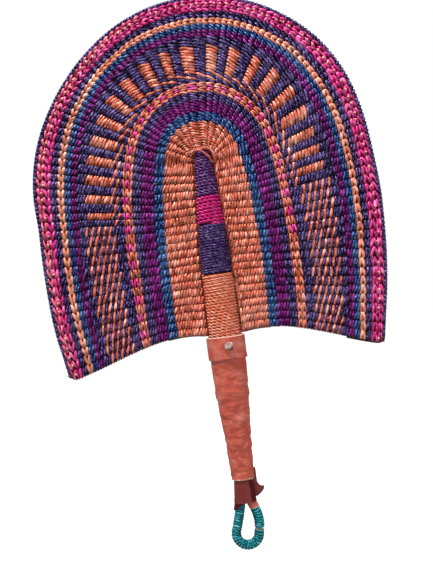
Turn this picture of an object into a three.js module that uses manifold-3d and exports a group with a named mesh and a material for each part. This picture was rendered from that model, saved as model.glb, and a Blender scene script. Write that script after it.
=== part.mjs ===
// A hand-woven straw fan: a horseshoe blade twined round straw stakes on a bound spine,
// with a leather grip and a bound hanging loop.
// Millimetres. +Z runs up the handle, +X to the right, and the front of the blade faces -Y.
// The origin is the middle of the grip, on the handle's axis.

import * as THREE from 'three';
import { mergeVertices } from 'three/addons/utils/BufferGeometryUtils.js';
import Module from 'manifold-3d';

const wasm = await Module();
wasm.setup();

// Clearances between pieces that touch on the real fan
const FIT = 0.3;
const BLADE_TO_SPINE = 0.6;

// Grip and its leather
const SLEEVE_LENGTH = 109;
const SLEEVE_WALL = 1.2;
const SLEEVE_TUCK = 7;
const GRIP_TOP_HALF = 15.9;
const GRIP_SHOULDER_HALF = 15.7;
const GRIP_WAIST_HALF = 12.3;
const GRIP_END_HALF = 10;
const GRIP_SHOULDER_DROP = 22;
const GRIP_WAIST_DROP = 66;
const COLLAR_HEIGHT = 20.6;
const COLLAR_WALL = 1.1;
const WRAP_LENGTH = 20.9;
const WRAP_TUCK = 6;
const WRAP_WALL = 1.3;
const WRAP_MOUTH_HALF = 10.3;
const OVAL_RATIO = 0.78;

// Spine
const SPINE_LENGTH = 164;
const SPINE_FOOT_HALF = 15.1;
const SPINE_MIDDLE_HALF = 14.1;
const SPINE_MIDDLE_RISE = 82;
const SPINE_NECK_HALF = 11.3;
const SPINE_NECK_RISE = 128;
const SPINE_TIP_HALF = 8.5;
const BINDING_STRAND = 2;
const BINDING_PITCH = 2.5;
const BINDING_STEPS = 9;
const STRAND_SIDES = 5;
const BINDING_ORANGE_LENGTH = 55.5;
const BINDING_INDIGO_LENGTH = 44.5;
const BINDING_MAGENTA_LENGTH = 24.5;

// Straw bundle and stick inside
const STICK_DIAMETER = 8;
const STICK_LENGTH = 230;
const BUNDLE_TIP_RISE = 3;
const BINDING_TIP_DROP = 1;
const BUNDLE_END_DROP = 11;

// Peg through the collar
const PEG_HEAD_WIDTH = 8.5;
const PEG_HEAD_HEIGHT = 7;
const PEG_PROUD = 4;
const PEG_SHANK = 5;
const PEG_ACROSS = 1.8;
const PEG_DROP = 8.4;

// Blade outline
const BLADE_HALF_WIDTH = 156;
const CROWN_ABOVE_TIP = 141.5;
const SHOULDER_BELOW_TIP = 34;
const FOOT_BELOW_COLLAR = 26;
const FOOT_INSET = 13;
const FOOT_FLARE = 1.6;
const FOOT_CORNER = 9;
const CORNER_FADE = 0.25;
const FOOT_BOW = 52;
const BOW_FADE = 1.5;
const ARCH_BELOW_TIP = 11;
const ARCH_SQUARENESS = 0.5;
const INNER_LEG = 0.3;
const OUTER_LEG = 0.22;
const BOW_ROWS = [0.2, 0.44, 0.74];
const LEG_STEPS = 4;
const CROWN_STEPS = 16;

// Weave
const STAKE_THICKNESS = 2.6;
const STAKE_EDGE_ROUND = 0.8;
const WEFT_THICKNESS = 1.4;
const BRAID_THICKNESS = 2.6;
const WEFT_TURN_LIFT = 1;
const RIM_WALL = 1.2;
const TIP_STRAND = 2.2;
const TIP_STRAND_SPREAD = 11;
const TIP_STRAND_RISE = 8;

// Hanging loop
const LOOP_WIDTH = 20.8;
const LOOP_DROP = 39;
const LOOP_LEAN = 2;
const LOOP_SWAY = 0.9;
const LOOP_LEG_SPACING = 9.6;
const LOOP_THICKNESS = 9.3;
const LOOP_STRAND = 1.6;
const LOOP_TURNS_LEFT = 24;
const LOOP_TURNS_RIGHT = 7;
const LOOP_STEPS = 8;
const LOOP_BREAK = 1.4;
const LOOP_BREAK_RISE = 14;
const TAB_LENGTH = 6;
const TAB_WALL = 1.6;

// Loose tail of the end wrap
const TAIL_THICKNESS = 1.3;
const TAIL_REACH = 7.2;
const TAIL_STRIP = 1.7;
const TAIL_ABOVE_SLEEVE_END = 9;
const TAIL_LENGTH = 25;

// Levels worked out from the sizes above
const sleeveTop = SLEEVE_LENGTH / 2;
const sleeveEnd = -SLEEVE_LENGTH / 2;
const collarTop = sleeveTop + COLLAR_HEIGHT;
const spineTip = collarTop + SPINE_LENGTH;
const wrapMouth = sleeveEnd - WRAP_LENGTH;
const bundleEnd = sleeveEnd - BUNDLE_END_DROP;
const crownTop = spineTip + CROWN_ABOVE_TIP;
const shoulderZ = spineTip - SHOULDER_BELOW_TIP;
const archZ = spineTip - ARCH_BELOW_TIP;
const archTop = spineTip + BUNDLE_TIP_RISE + BLADE_TO_SPINE;
const stakeHalf = STAKE_THICKNESS / 2;
const weftInner = stakeHalf + FIT;
const weftOuter = weftInner + WEFT_THICKNESS;
const braidOuter = weftInner + BRAID_THICKNESS;
const footSeat = weftOuter - WEFT_TURN_LIFT + FIT;
const footZ = collarTop + footSeat - FOOT_BELOW_COLLAR;

// Colours of the dyed straw and of the leather, with roughness
const FINISH = {
  orange: [0xd9703f, 0.55],
  blue: [0x2b5f96, 0.5],
  purple: [0x64307a, 0.5],
  navy: [0x2c2550, 0.55],
  magenta: [0xc81f78, 0.5],
  pink: [0xe0607a, 0.5],
  straw: [0xc79a5e, 0.7],
  teal: [0x1c9a94, 0.45],
  tan: [0xb5532f, 0.6],
  maroon: [0x6a2a30, 0.6],
  wood: [0xb79a78, 0.75],
};

const fan = new THREE.Group();

function addPiece(name, geometry, finish) {
  const [color, roughness] = FINISH[finish];
  const material = new THREE.MeshStandardMaterial({ color, roughness, metalness: 0 });
  const mesh = new THREE.Mesh(geometry, material);
  mesh.name = name;
  fan.add(mesh);
  return mesh;
}

// Turns a list of triangles the right way out, by the sign of the volume they hold
function outward(points, triangles) {
  let volume = 0;
  const cross = new THREE.Vector3();
  for (const [a, b, c] of triangles) {
    volume += cross.crossVectors(points[b], points[c]).dot(points[a]);
  }
  const index = triangles.flatMap(([a, b, c]) => (volume > 0 ? [a, b, c] : [a, c, b]));
  const geometry = new THREE.BufferGeometry();
  geometry.setFromPoints(points);
  geometry.setIndex(index);
  return geometry;
}

// A body through a row of sections with equally many points; a ring closes on itself,
// any other has its ends capped
function loft(sections, ring = false) {
  const sides = sections[0].length;
  const points = sections.flat();
  const triangles = [];
  const spans = ring ? sections.length : sections.length - 1;
  for (let i = 0; i < spans; i++) {
    const here = i * sides;
    const next = ((i + 1) % sections.length) * sides;
    for (let j = 0; j < sides; j++) {
      const k = (j + 1) % sides;
      triangles.push([here + j, here + k, next + k], [here + j, next + k, next + j]);
    }
  }
  if (!ring) {
    const last = (sections.length - 1) * sides;
    for (const [a, b, c] of capTriangles(sides)) {
      triangles.push([a, c, b], [last + a, last + b, last + c]);
    }
  }
  return outward(points, triangles);
}

// Triangles that close a section of so many points, laced from its first and last points inwards
function capTriangles(count) {
  const triangles = [];
  let low = 0;
  let high = count - 1;
  while (high - low > 1) {
    triangles.push([low, low + 1, high]);
    low += 1;
    if (high - low > 1) {
      triangles.push([low, high - 1, high]);
      high -= 1;
    }
  }
  return triangles;
}

// Value at x on straight lines between [x, value] pairs in rising x
function between(pairs, x) {
  const last = pairs.length - 1;
  if (x <= pairs[0][0]) return pairs[0][1];
  if (x >= pairs[last][0]) return pairs[last][1];
  const i = pairs.findIndex((pair) => pair[0] > x);
  const [x0, v0] = pairs[i - 1];
  const [x1, v1] = pairs[i];
  return v0 + ((v1 - v0) * (x - x0)) / (x1 - x0);
}

// Half width of the wound spine and of the leather sleeve at a level
function spineHalf(z) {
  return between([
    [0, SPINE_FOOT_HALF],
    [SPINE_MIDDLE_RISE, SPINE_MIDDLE_HALF],
    [SPINE_NECK_RISE, SPINE_NECK_HALF],
    [SPINE_LENGTH, SPINE_TIP_HALF],
  ], z - collarTop);
}

function sleeveHalf(z) {
  return between([
    [0, GRIP_TOP_HALF],
    [GRIP_SHOULDER_DROP, GRIP_SHOULDER_HALF],
    [GRIP_WAIST_DROP, GRIP_WAIST_HALF],
    [SLEEVE_LENGTH, GRIP_END_HALF],
  ], sleeveTop - z);
}

// Point of an oval at a level, drawn in by an inset all round
function ovalPoint(half, inset, angle, z) {
  const x = (half - inset) * Math.cos(angle);
  const y = (half * OVAL_RATIO - inset) * Math.sin(angle);
  return new THREE.Vector3(x, y, z);
}

function ovalSection(half, inset, z, sides) {
  const angles = Array.from({ length: sides }, (_, i) => (i * 2 * Math.PI) / sides);
  return angles.map((angle) => ovalPoint(half, inset, angle, z));
}

// An oval tube of leather: the profile is a closed line of [half width, inset, level]
function ovalShell(profile, sides) {
  const sections = Array.from({ length: sides }, (_, i) => {
    const angle = (i * 2 * Math.PI) / sides;
    return profile.map(([half, inset, z]) => ovalPoint(half, inset, angle, z));
  });
  return loft(sections, true);
}

// Solids for cutting holes
function toSolid(geometry) {
  const bare = geometry.clone();
  bare.deleteAttribute('normal');
  bare.deleteAttribute('uv');
  const merged = mergeVertices(bare, 1e-4);
  const vertProperties = new Float32Array(merged.attributes.position.array);
  const triVerts = new Uint32Array(merged.index.array);
  return new wasm.Manifold(new wasm.Mesh({ numProp: 3, vertProperties, triVerts }));
}

function fromSolid(solid) {
  const mesh = solid.getMesh();
  const geometry = new THREE.BufferGeometry();
  geometry.setAttribute('position', new THREE.BufferAttribute(new Float32Array(mesh.vertProperties), 3));
  geometry.setIndex(new THREE.BufferAttribute(new Uint32Array(mesh.triVerts), 1));
  return geometry;
}

// A strand along a line of points; outs are the directions away from what it is wound on
function strand(points, outs, radius, sides) {
  const steps = points.slice(1).map((p, i) => new THREE.Vector3().subVectors(p, points[i]).normalize());
  const sections = points.map((point, i) => {
    const before = steps[Math.max(i - 1, 0)];
    const after = steps[Math.min(i, steps.length - 1)];
    const along = new THREE.Vector3().addVectors(before, after).normalize();
    const mitre = 1 / along.dot(after);
    const out = outs[i].clone().addScaledVector(along, -outs[i].dot(along)).normalize();
    const side = new THREE.Vector3().crossVectors(along, out);
    return Array.from({ length: sides }, (_, j) => {
      const angle = (j * 2 * Math.PI) / sides;
      return point.clone()
        .addScaledVector(out, radius * mitre * Math.cos(angle))
        .addScaledVector(side, radius * Math.sin(angle));
    });
  });
  return loft(sections);
}

// Least gap of a wound strand to itself, measured on points along its middle line
function leastGap(points, radius, stepsPerTurn) {
  const parts = 4;
  const line = [];
  for (let i = 0; i < points.length - 1; i++) {
    for (let j = 0; j < parts; j++) line.push(points[i].clone().lerp(points[i + 1], j / parts));
  }
  let least = Infinity;
  const apart = Math.round(stepsPerTurn * parts * 0.6);
  for (let i = 0; i < line.length; i++) {
    for (let j = i + apart; j < line.length; j++) least = Math.min(least, line[i].distanceTo(line[j]));
  }
  return least - 2 * radius;
}

function printGap(name, points, radius, stepsPerTurn) {
  const gap = leastGap(points, radius, stepsPerTurn);
  console.log(`${name}: least gap of the strand to itself ${gap.toFixed(2)} mm`);
}

// Blade outline

// Inner line of the blade, beside the spine and over its tip, for a share h from foot to middle
function innerLine(h) {
  if (h < INNER_LEG) {
    const start = collarTop + footSeat;
    const z = start + ((archZ - start) * h) / INNER_LEG;
    return [spineHalf(z) + BLADE_TO_SPINE, z];
  }
  const turn = (((h - INNER_LEG) / (0.5 - INNER_LEG)) * Math.PI) / 2;
  const half = spineHalf(archZ) + BLADE_TO_SPINE;
  const x = half * Math.max(Math.cos(turn), 0) ** ARCH_SQUARENESS;
  return [x, archZ + (archTop - archZ) * Math.sin(turn) ** ARCH_SQUARENESS];
}

// Outer line: a leg up from the foot's corner, then a quarter of an oval to the top of the crown
function outerLine(h) {
  if (h < OUTER_LEG) {
    const k = h / OUTER_LEG;
    return [BLADE_HALF_WIDTH - FOOT_INSET * (1 - k) ** FOOT_FLARE, footZ + (shoulderZ - footZ) * k];
  }
  const turn = (((h - OUTER_LEG) / (0.5 - OUTER_LEG)) * Math.PI) / 2;
  return [BLADE_HALF_WIDTH * Math.cos(turn), shoulderZ + (crownTop - shoulderZ) * Math.sin(turn)];
}

// How far the wings' lower edge bows up above a straight line, on straight lines between rows
function footBow(f) {
  const bowAt = (share) => FOOT_BOW * share * (1 - share) ** 2;
  return between([0, ...BOW_ROWS, 1].map((share) => [share, bowAt(share)]), f);
}

// Point of the blade: t runs from the left foot round to the right foot, f from spine to rim
function bladePoint(t, f, y) {
  const h = Math.min(t, 1 - t);
  const side = t < 0.5 ? -1 : 1;
  const [xi, zi] = innerLine(h);
  const [xo, zo] = outerLine(h);
  const fromFoot = Math.min(h / OUTER_LEG, 1);
  const bow = footBow(f) * (1 - fromFoot) ** BOW_FADE;
  const into = Math.max(0, FOOT_CORNER - (1 - f) * (BLADE_HALF_WIDTH - SPINE_FOOT_HALF));
  const corner = FOOT_CORNER - Math.sqrt(FOOT_CORNER ** 2 - into ** 2);
  const rounding = corner * Math.max(0, 1 - fromFoot / CORNER_FADE);
  return new THREE.Vector3(side * (xi + (xo - xi) * f), y, zi + (zo - zi) * f + bow + rounding);
}

// Stations along the blade: few on the legs, more round the crown
function bladeStations(legSteps, crownSteps) {
  const leg = Array.from({ length: legSteps }, (_, i) => (OUTER_LEG * i) / legSteps);
  const crownShare = 1 - 2 * OUTER_LEG;
  const crown = Array.from({ length: crownSteps + 1 }, (_, i) => OUTER_LEG + (crownShare * i) / crownSteps);
  return [...leg, ...crown, ...leg.map((t) => 1 - t).reverse()];
}

// A colour of weft: one flat ring over the stakes in front, round the last stake at each foot
// and over the stakes behind
function weftRing(f0, f1, outer, stations) {
  const profile = [[f0, weftInner], [f1, weftInner], [f1, outer], [f0, outer]];
  const face = (t, sign) => profile.map(([f, r]) => {
    const point = bladePoint(t, f, sign * r);
    if (t === 0 || t === 1) point.z += WEFT_TURN_LIFT;
    return point;
  });
  const turn = (t, angle) => profile.map(([f, r]) => {
    const point = bladePoint(t, f, -r * Math.cos(angle));
    point.z += WEFT_TURN_LIFT - r * Math.sin(angle);
    return point;
  });
  const quarter = Math.PI / 4;
  const front = stations.map((t) => face(t, -1));
  const rightFoot = [1, 2, 3].map((i) => turn(1, i * quarter));
  const back = [...stations].reverse().map((t) => face(t, 1));
  const leftFoot = [3, 2, 1].map((i) => turn(0, i * quarter));
  return loft([...front, ...rightFoot, ...back, ...leftFoot], true);
}

// Bands of weft from the spine to the rim, each so many rows wide
const BANDS = [
  { name: 'weft_orange_field', rows: 10, finish: 'orange', outer: weftOuter },
  { name: 'weft_blue_inner', rows: 3, finish: 'blue', outer: weftOuter },
  { name: 'weft_purple_inner', rows: 3, finish: 'purple', outer: weftOuter },
  { name: 'weft_navy_inner', rows: 3, finish: 'navy', outer: weftOuter },
  { name: 'weft_check', rows: 3, finish: 'pink', outer: weftOuter },
  { name: 'weft_rays', rows: 15, finish: 'navy', outer: weftOuter },
  { name: 'weft_purple_outer', rows: 2, finish: 'purple', outer: weftOuter },
  { name: 'weft_blue_outer', rows: 2, finish: 'blue', outer: weftOuter },
  { name: 'weft_orange_outer', rows: 2, finish: 'orange', outer: weftOuter },
  { name: 'weft_navy_outer', rows: 2, finish: 'navy', outer: weftOuter },
  { name: 'braid_magenta', rows: 2, finish: 'magenta', outer: braidOuter },
  { name: 'braid_pink', rows: 2, finish: 'pink', outer: braidOuter },
];
const RIM_ROWS = 1;
const rowsInAll = BANDS.reduce((sum, band) => sum + band.rows, RIM_ROWS);
const bladeReach = BLADE_HALF_WIDTH - SPINE_FOOT_HALF;
const halfFit = FIT / 2 / bladeReach;

function buildWefts() {
  const stations = bladeStations(LEG_STEPS, CROWN_STEPS);
  let rowsSoFar = 0;
  for (const band of BANDS) {
    const f0 = rowsSoFar / rowsInAll + halfFit;
    rowsSoFar += band.rows;
    const f1 = rowsSoFar / rowsInAll - halfFit;
    addPiece(band.name, weftRing(f0, f1, band.outer, stations), band.finish);
  }
}

// Navy edging: a channel that closes over the stakes' outer ends
function buildRim() {
  const f0 = 1 - RIM_ROWS / rowsInAll + halfFit;
  const web = 1 - RIM_WALL / bladeReach;
  const profile = [
    [f0, -weftOuter], [1, -weftOuter], [1, weftOuter], [f0, weftOuter],
    [f0, weftInner], [web, weftInner], [web, -weftInner], [f0, -weftInner],
  ];
  const stations = bladeStations(6, 36);
  const sections = stations.map((t) => profile.map(([f, y]) => bladePoint(t, f, y)));
  addPiece('rim_navy', loft(sections), 'navy');
}

// Stakes: the flat bundles of straw that lie side by side under the wefts, as one sheet
function buildStakes() {
  const rimStart = 1 - RIM_ROWS / rowsInAll;
  const rows = [0, ...BOW_ROWS, rimStart];
  const sections = bladeStations(LEG_STEPS, CROWN_STEPS).map((t) => {
    const foot = t === 0 || t === 1;
    const half = foot ? stakeHalf - STAKE_EDGE_ROUND : stakeHalf;
    const front = rows.map((f) => bladePoint(t, f, -half));
    const back = rows.map((f) => bladePoint(t, f, half)).reverse();
    return [...front, ...back];
  });
  addPiece('stake_mat', loft(sections), 'straw');
}

// Orange strand looped over the tip of the spine, its ends turned back into the blade's face
function buildTipStrand() {
  const radius = TIP_STRAND / 2;
  const face = -(weftOuter + FIT);
  const proud = face - TIP_STRAND - radius;
  const springZ = archTop + TIP_STRAND - TIP_STRAND_RISE;
  const bendSteps = 3;
  const arcSteps = 10;
  const legDown = TIP_STRAND;
  const points = [];
  const outs = [];
  const addLeg = (side) => {
    const leg = [];
    const x = side * TIP_STRAND_SPREAD;
    leg.push(new THREE.Vector3(x, face, springZ - legDown - radius));
    for (let i = 0; i <= bendSteps; i++) {
      const angle = (i * Math.PI) / 2 / bendSteps;
      const y = proud + radius * (1 - Math.sin(angle));
      leg.push(new THREE.Vector3(x, y, springZ - legDown - radius * Math.cos(angle)));
    }
    return leg;
  };
  const arc = Array.from({ length: arcSteps + 1 }, (_, i) => {
    const angle = Math.PI - (Math.PI * i) / arcSteps;
    const z = springZ + TIP_STRAND_RISE * Math.sin(angle);
    return new THREE.Vector3(TIP_STRAND_SPREAD * Math.cos(angle), proud, z);
  });
  points.push(...addLeg(-1), ...arc, ...addLeg(1).reverse());
  for (const p of points) {
    const along = p.z < springZ ? 0 : p.z - springZ;
    outs.push(new THREE.Vector3(p.x, 0, along));
  }
  addPiece('tip_strand', strand(points, outs, radius, 6), 'orange');
}

// Point on the strand of the spine bindings after so many turns up from the collar
function bindingPoint(turns) {
  const radius = BINDING_STRAND / 2;
  const z = collarTop + FIT + radius + turns * BINDING_PITCH;
  return ovalPoint(spineHalf(z), radius, turns * 2 * Math.PI, z);
}

// Spine bindings: one strand of each colour, wound up the straw bundle one after another.
// Two colours meet end to end, square, in the middle of a straight step.
function buildBindings() {
  const radius = BINDING_STRAND / 2;
  const others = BINDING_ORANGE_LENGTH + BINDING_INDIGO_LENGTH + BINDING_MAGENTA_LENGTH;
  const purpleLength = SPINE_LENGTH - BINDING_TIP_DROP - BINDING_STRAND - others;
  const bindings = [
    { name: 'binding_orange', length: BINDING_ORANGE_LENGTH, finish: 'orange' },
    { name: 'binding_indigo', length: BINDING_INDIGO_LENGTH, finish: 'navy' },
    { name: 'binding_magenta', length: BINDING_MAGENTA_LENGTH, finish: 'magenta' },
    { name: 'binding_purple', length: purpleLength, finish: 'purple' },
  ];
  let firstStep = 0;
  for (const { name, length, finish } of bindings) {
    const steps = Math.round((length / BINDING_PITCH) * BINDING_STEPS);
    const points = [];
    for (let i = 0; i <= steps; i++) points.push(bindingPoint((firstStep + i) / BINDING_STEPS));
    if (firstStep > 0) points.unshift(halfStep(points[0], bindingPoint((firstStep - 1) / BINDING_STEPS)));
    points.push(halfStep(points.at(-1), bindingPoint((firstStep + steps + 1) / BINDING_STEPS)));
    const outs = points.map((p) => new THREE.Vector3(p.x, p.y / OVAL_RATIO, 0));
    addPiece(name, strand(points, outs, radius, STRAND_SIDES), finish);
    printGap(name, points, radius, BINDING_STEPS);
    firstStep += steps + 1;
  }
}

// End of a strand half way to the next point, short of the other strand by half a clearance
function halfStep(from, to) {
  const step = from.distanceTo(to);
  return from.clone().lerp(to, (step - FIT) / 2 / step);
}

// Inset that keeps the bundle clear of a binding, whose straight steps dip below its round
function insetUnderBinding(half) {
  const radius = BINDING_STRAND / 2;
  const dip = (half - radius) * (1 - Math.cos(Math.PI / BINDING_STEPS));
  return BINDING_STRAND + dip + FIT;
}

// Half width and inset of the maroon wrap's outside at a level
function wrapOval(z) {
  const down = Math.max(0, (sleeveEnd - z) / WRAP_LENGTH);
  const tucked = SLEEVE_WALL + FIT;
  const half = sleeveHalf(z);
  return [half + (WRAP_MOUTH_HALF - half) * down, tucked * (1 - down)];
}

// Straw bundle: the body of spine and grip, bored for the stick and the peg
function buildBundle() {
  const sides = 20;
  const sections = [];
  for (const z of [bundleEnd, sleeveEnd, sleeveEnd + WRAP_TUCK]) {
    const [half, inset] = wrapOval(z);
    sections.push(ovalSection(half, inset + WRAP_WALL + FIT, z, sides));
  }
  const waist = sleeveTop - GRIP_WAIST_DROP;
  const shoulder = sleeveTop - GRIP_SHOULDER_DROP;
  for (const z of [sleeveEnd + WRAP_TUCK + FIT, waist, shoulder, sleeveTop + SLEEVE_TUCK]) {
    sections.push(ovalSection(sleeveHalf(z), SLEEVE_WALL + FIT, z, sides));
  }
  for (const z of [sleeveTop + SLEEVE_TUCK + FIT, collarTop]) {
    sections.push(ovalSection(GRIP_TOP_HALF, 0, z, sides));
  }
  for (const rise of [FIT / 10, SPINE_MIDDLE_RISE, SPINE_NECK_RISE, SPINE_LENGTH - BINDING_TIP_DROP]) {
    const half = spineHalf(collarTop + rise);
    sections.push(ovalSection(half, insetUnderBinding(half), collarTop + rise, sides));
  }
  const tipInset = insetUnderBinding(SPINE_TIP_HALF) + BUNDLE_TIP_RISE;
  sections.push(ovalSection(SPINE_TIP_HALF, tipInset, spineTip + BUNDLE_TIP_RISE, sides));
  const bore = toSolid(stickGeometry(FIT));
  const pegHole = toSolid(pegGeometry(FIT));
  const bundle = toSolid(loft(sections)).subtract(bore).subtract(pegHole);
  addPiece('straw_bundle', fromSolid(bundle), 'straw');
}

// Round stick, or its bore when it is given a clearance; the bore runs out through the lower end
function stickGeometry(clearance) {
  const radius = STICK_DIAMETER / 2 + clearance;
  const length = STICK_LENGTH + clearance * 2;
  const stick = new THREE.CylinderGeometry(radius, radius, length, 16);
  stick.rotateX(Math.PI / 2);
  stick.translate(0, 0, bundleEnd - clearance + length / 2);
  return stick;
}

// Peg with an oval, mushroomed head, or its hole when it is given a clearance.
// It is pushed in through the front of the collar and stops short of the stick.
function pegGeometry(clearance) {
  const inner = STICK_DIAMETER / 2 + FIT * 2;
  const collarFront = GRIP_TOP_HALF * OVAL_RATIO + FIT + COLLAR_WALL;
  const shank = PEG_SHANK / 2 + clearance;
  const headStart = collarFront + FIT - inner;
  const top = headStart + PEG_PROUD;
  const head = PEG_HEAD_HEIGHT / 2;
  const plug = [[0, 0], [shank, 0], [shank, top], [0, top]];
  const peg = [
    [0, 0], [shank, 0], [shank, headStart], [head, headStart + PEG_PROUD * 0.15],
    [head, top - PEG_PROUD * 0.3], [head * 0.7, top], [0, top],
  ];
  const profile = (clearance > 0 ? plug : peg).map(([r, y]) => new THREE.Vector2(r, y));
  const geometry = new THREE.LatheGeometry(profile, 16);
  geometry.scale(PEG_HEAD_WIDTH / PEG_HEAD_HEIGHT, 1, 1);
  geometry.rotateZ(Math.PI);
  geometry.translate(PEG_ACROSS, -inner, collarTop - PEG_DROP);
  return geometry;
}

function buildStickAndPeg() {
  addPiece('core_stick', fromSolid(toSolid(stickGeometry(0))), 'wood');
  addPiece('collar_peg', fromSolid(toSolid(pegGeometry(0))), 'wood');
}

// Leather collar over the top of the sleeve, with the peg's hole in its front
function buildCollar() {
  const inside = -FIT;
  const outside = -FIT - COLLAR_WALL;
  const collar = ovalShell([
    [GRIP_TOP_HALF, outside, sleeveTop],
    [GRIP_TOP_HALF, outside, collarTop],
    [GRIP_TOP_HALF, inside, collarTop],
    [GRIP_TOP_HALF, inside, sleeveTop],
  ], 32);
  addPiece('collar', fromSolid(toSolid(collar).subtract(toSolid(pegGeometry(FIT)))), 'tan');
}

// Leather sleeve: a shouldered taper from the collar down to the end wrap
function buildSleeve() {
  const drops = [-SLEEVE_TUCK, 0, GRIP_SHOULDER_DROP, GRIP_WAIST_DROP, SLEEVE_LENGTH];
  const levels = drops.map((drop) => sleeveTop - drop);
  const outside = levels.map((z) => [sleeveHalf(z), 0, z]);
  const inside = levels.map((z) => [sleeveHalf(z), SLEEVE_WALL, z]).reverse();
  addPiece('grip_sleeve', ovalShell([...outside, ...inside], 32), 'tan');
}

// Maroon wrap: tucked under the sleeve, flaring to the mouth that the loop's legs go into
function buildEndWrap() {
  const levels = [sleeveEnd + WRAP_TUCK, sleeveEnd, (sleeveEnd + wrapMouth) / 2, wrapMouth];
  const side = (extra) => levels.map((z) => {
    const [half, inset] = wrapOval(z);
    return [half, inset + extra, z];
  });
  addPiece('end_wrap', ovalShell([...side(0), ...side(WRAP_WALL).reverse()], 32), 'maroon');
}

// Loose tail of the end wrap: a strip up the sleeve's right edge and a pointed flap below it
function buildTail() {
  const top = sleeveEnd + TAIL_ABOVE_SLEEVE_END;
  const bottom = top - TAIL_LENGTH;
  const left = WRAP_MOUTH_HALF + FIT * 2;
  const strip = left + TAIL_STRIP;
  const tip = left + TAIL_REACH;
  const flapTop = sleeveEnd - TAIL_STRIP * 2;
  const tipZ = (flapTop + bottom) / 2;
  const outline = new THREE.Shape();
  outline.moveTo(left, bottom);
  outline.quadraticCurveTo(tip * 0.9, bottom, tip, tipZ - TAIL_STRIP / 2);
  outline.lineTo(tip, tipZ + TAIL_STRIP / 2);
  outline.quadraticCurveTo(strip + TAIL_STRIP, flapTop - TAIL_STRIP, strip, flapTop);
  outline.lineTo(strip, top);
  outline.lineTo(left, top);
  outline.closePath();
  const settings = { depth: TAIL_THICKNESS, bevelEnabled: false, curveSegments: 6 };
  const tail = new THREE.ExtrudeGeometry(outline, settings);
  tail.rotateX(Math.PI / 2);
  tail.translate(0, TAIL_THICKNESS / 2, 0);
  addPiece('wrap_tail', fromSolid(toSolid(tail)), 'maroon');
}

// Hanging loop: legs that spread from the wrap, sway right, lean left and join in a half round
const loopRadius = LOOP_WIDTH / 2;
const loopLegDepth = LOOP_DROP - loopRadius;
const loopWound = (LOOP_THICKNESS - LOOP_STRAND) / 2;
const loopCoreRadius = loopWound * Math.cos(Math.PI / LOOP_STEPS) - LOOP_STRAND / 2 - FIT;
const tabOuter = loopCoreRadius + FIT + TAB_WALL;

function loopLegPoint(side, depth) {
  const share = depth / loopLegDepth;
  const spread = LOOP_LEG_SPACING / 2;
  const x = spread + (loopRadius - spread) * Math.sin((share * Math.PI) / 2);
  const shift = LOOP_SWAY * Math.sin(share * Math.PI) - LOOP_LEAN * share ** 2;
  return new THREE.Vector3(side * x + shift, 0, wrapMouth - depth);
}

function loopCurve() {
  const legSteps = 4;
  const top = bundleEnd - FIT;
  const leg = (side) => {
    const depths = Array.from({ length: legSteps }, (_, i) => (loopLegDepth * i) / legSteps);
    const steps = depths.map((depth) => loopLegPoint(side, depth));
    return [new THREE.Vector3((side * LOOP_LEG_SPACING) / 2, 0, top), ...steps];
  };
  const arcSteps = 6;
  const arc = Array.from({ length: arcSteps + 1 }, (_, i) => {
    const angle = Math.PI + (i * Math.PI) / arcSteps;
    const z = wrapMouth - loopLegDepth + loopRadius * Math.sin(angle);
    return new THREE.Vector3(loopRadius * Math.cos(angle) - LOOP_LEAN, 0, z);
  });
  return new THREE.CatmullRomCurve3([...leg(-1), ...arc, ...leg(1).reverse()], false, 'centripetal');
}

const loop = loopCurve();
loop.arcLengthDivisions = 800;
const loopLength = loop.getLength();

// Middle line, direction away from the eye and bend of the loop at a distance from its left end
function loopFrame(distance) {
  const u = THREE.MathUtils.clamp(distance / loopLength, 0, 1);
  const step = 0.002;
  const before = loop.getTangentAt(Math.max(u - step, 0));
  const after = loop.getTangentAt(Math.min(u + step, 1));
  const along = loop.getTangentAt(u);
  const away = new THREE.Vector3(along.z, 0, -along.x).negate();
  const bend = before.angleTo(after) / (2 * step * loopLength);
  return { point: loop.getPointAt(u), along, away, bend };
}

// Distance from the left end at which the loop passes a level, on its left or right leg;
// with a radius, at which a tube of that radius round it is all below the level
function loopDistanceAt(z, rightLeg, radius = 0) {
  const samples = 1000;
  for (let i = 0; i < samples; i++) {
    const distance = (rightLeg ? 1 - i / samples : i / samples) * loopLength;
    const { point, along } = loopFrame(distance);
    if (point.z + radius * Math.abs(along.x) <= z) return distance;
  }
  return loopLength / 2;
}

// A binding of the loop between two distances; it opens out in the bend, so that the turns
// stay clear of each other on the inside
function loopWinding(start, end, turns) {
  const fine = turns * LOOP_STEPS * 4;
  const step = (end - start) / fine;
  const crowding = (distance) => 1 - loopWound * loopFrame(distance).bend;
  const wound = [0];
  for (let i = 0; i < fine; i++) wound.push(wound[i] + crowding(start + (i + 0.5) * step) * step);
  const points = [];
  const outs = [];
  const count = turns * LOOP_STEPS;
  for (let n = 0; n <= count; n++) {
    const target = (wound[fine] * n) / count;
    const i = Math.min(Math.max(wound.findIndex((w) => w >= target), 1), fine);
    const distance = start + (i - 1 + (target - wound[i - 1]) / (wound[i] - wound[i - 1])) * step;
    const { point, away } = loopFrame(distance);
    const angle = (n * 2 * Math.PI) / LOOP_STEPS;
    const out = away.clone().multiplyScalar(Math.cos(angle)).add(new THREE.Vector3(0, Math.sin(angle), 0));
    points.push(point.clone().addScaledVector(out, loopWound));
    outs.push(out);
  }
  return { points, outs };
}

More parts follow.
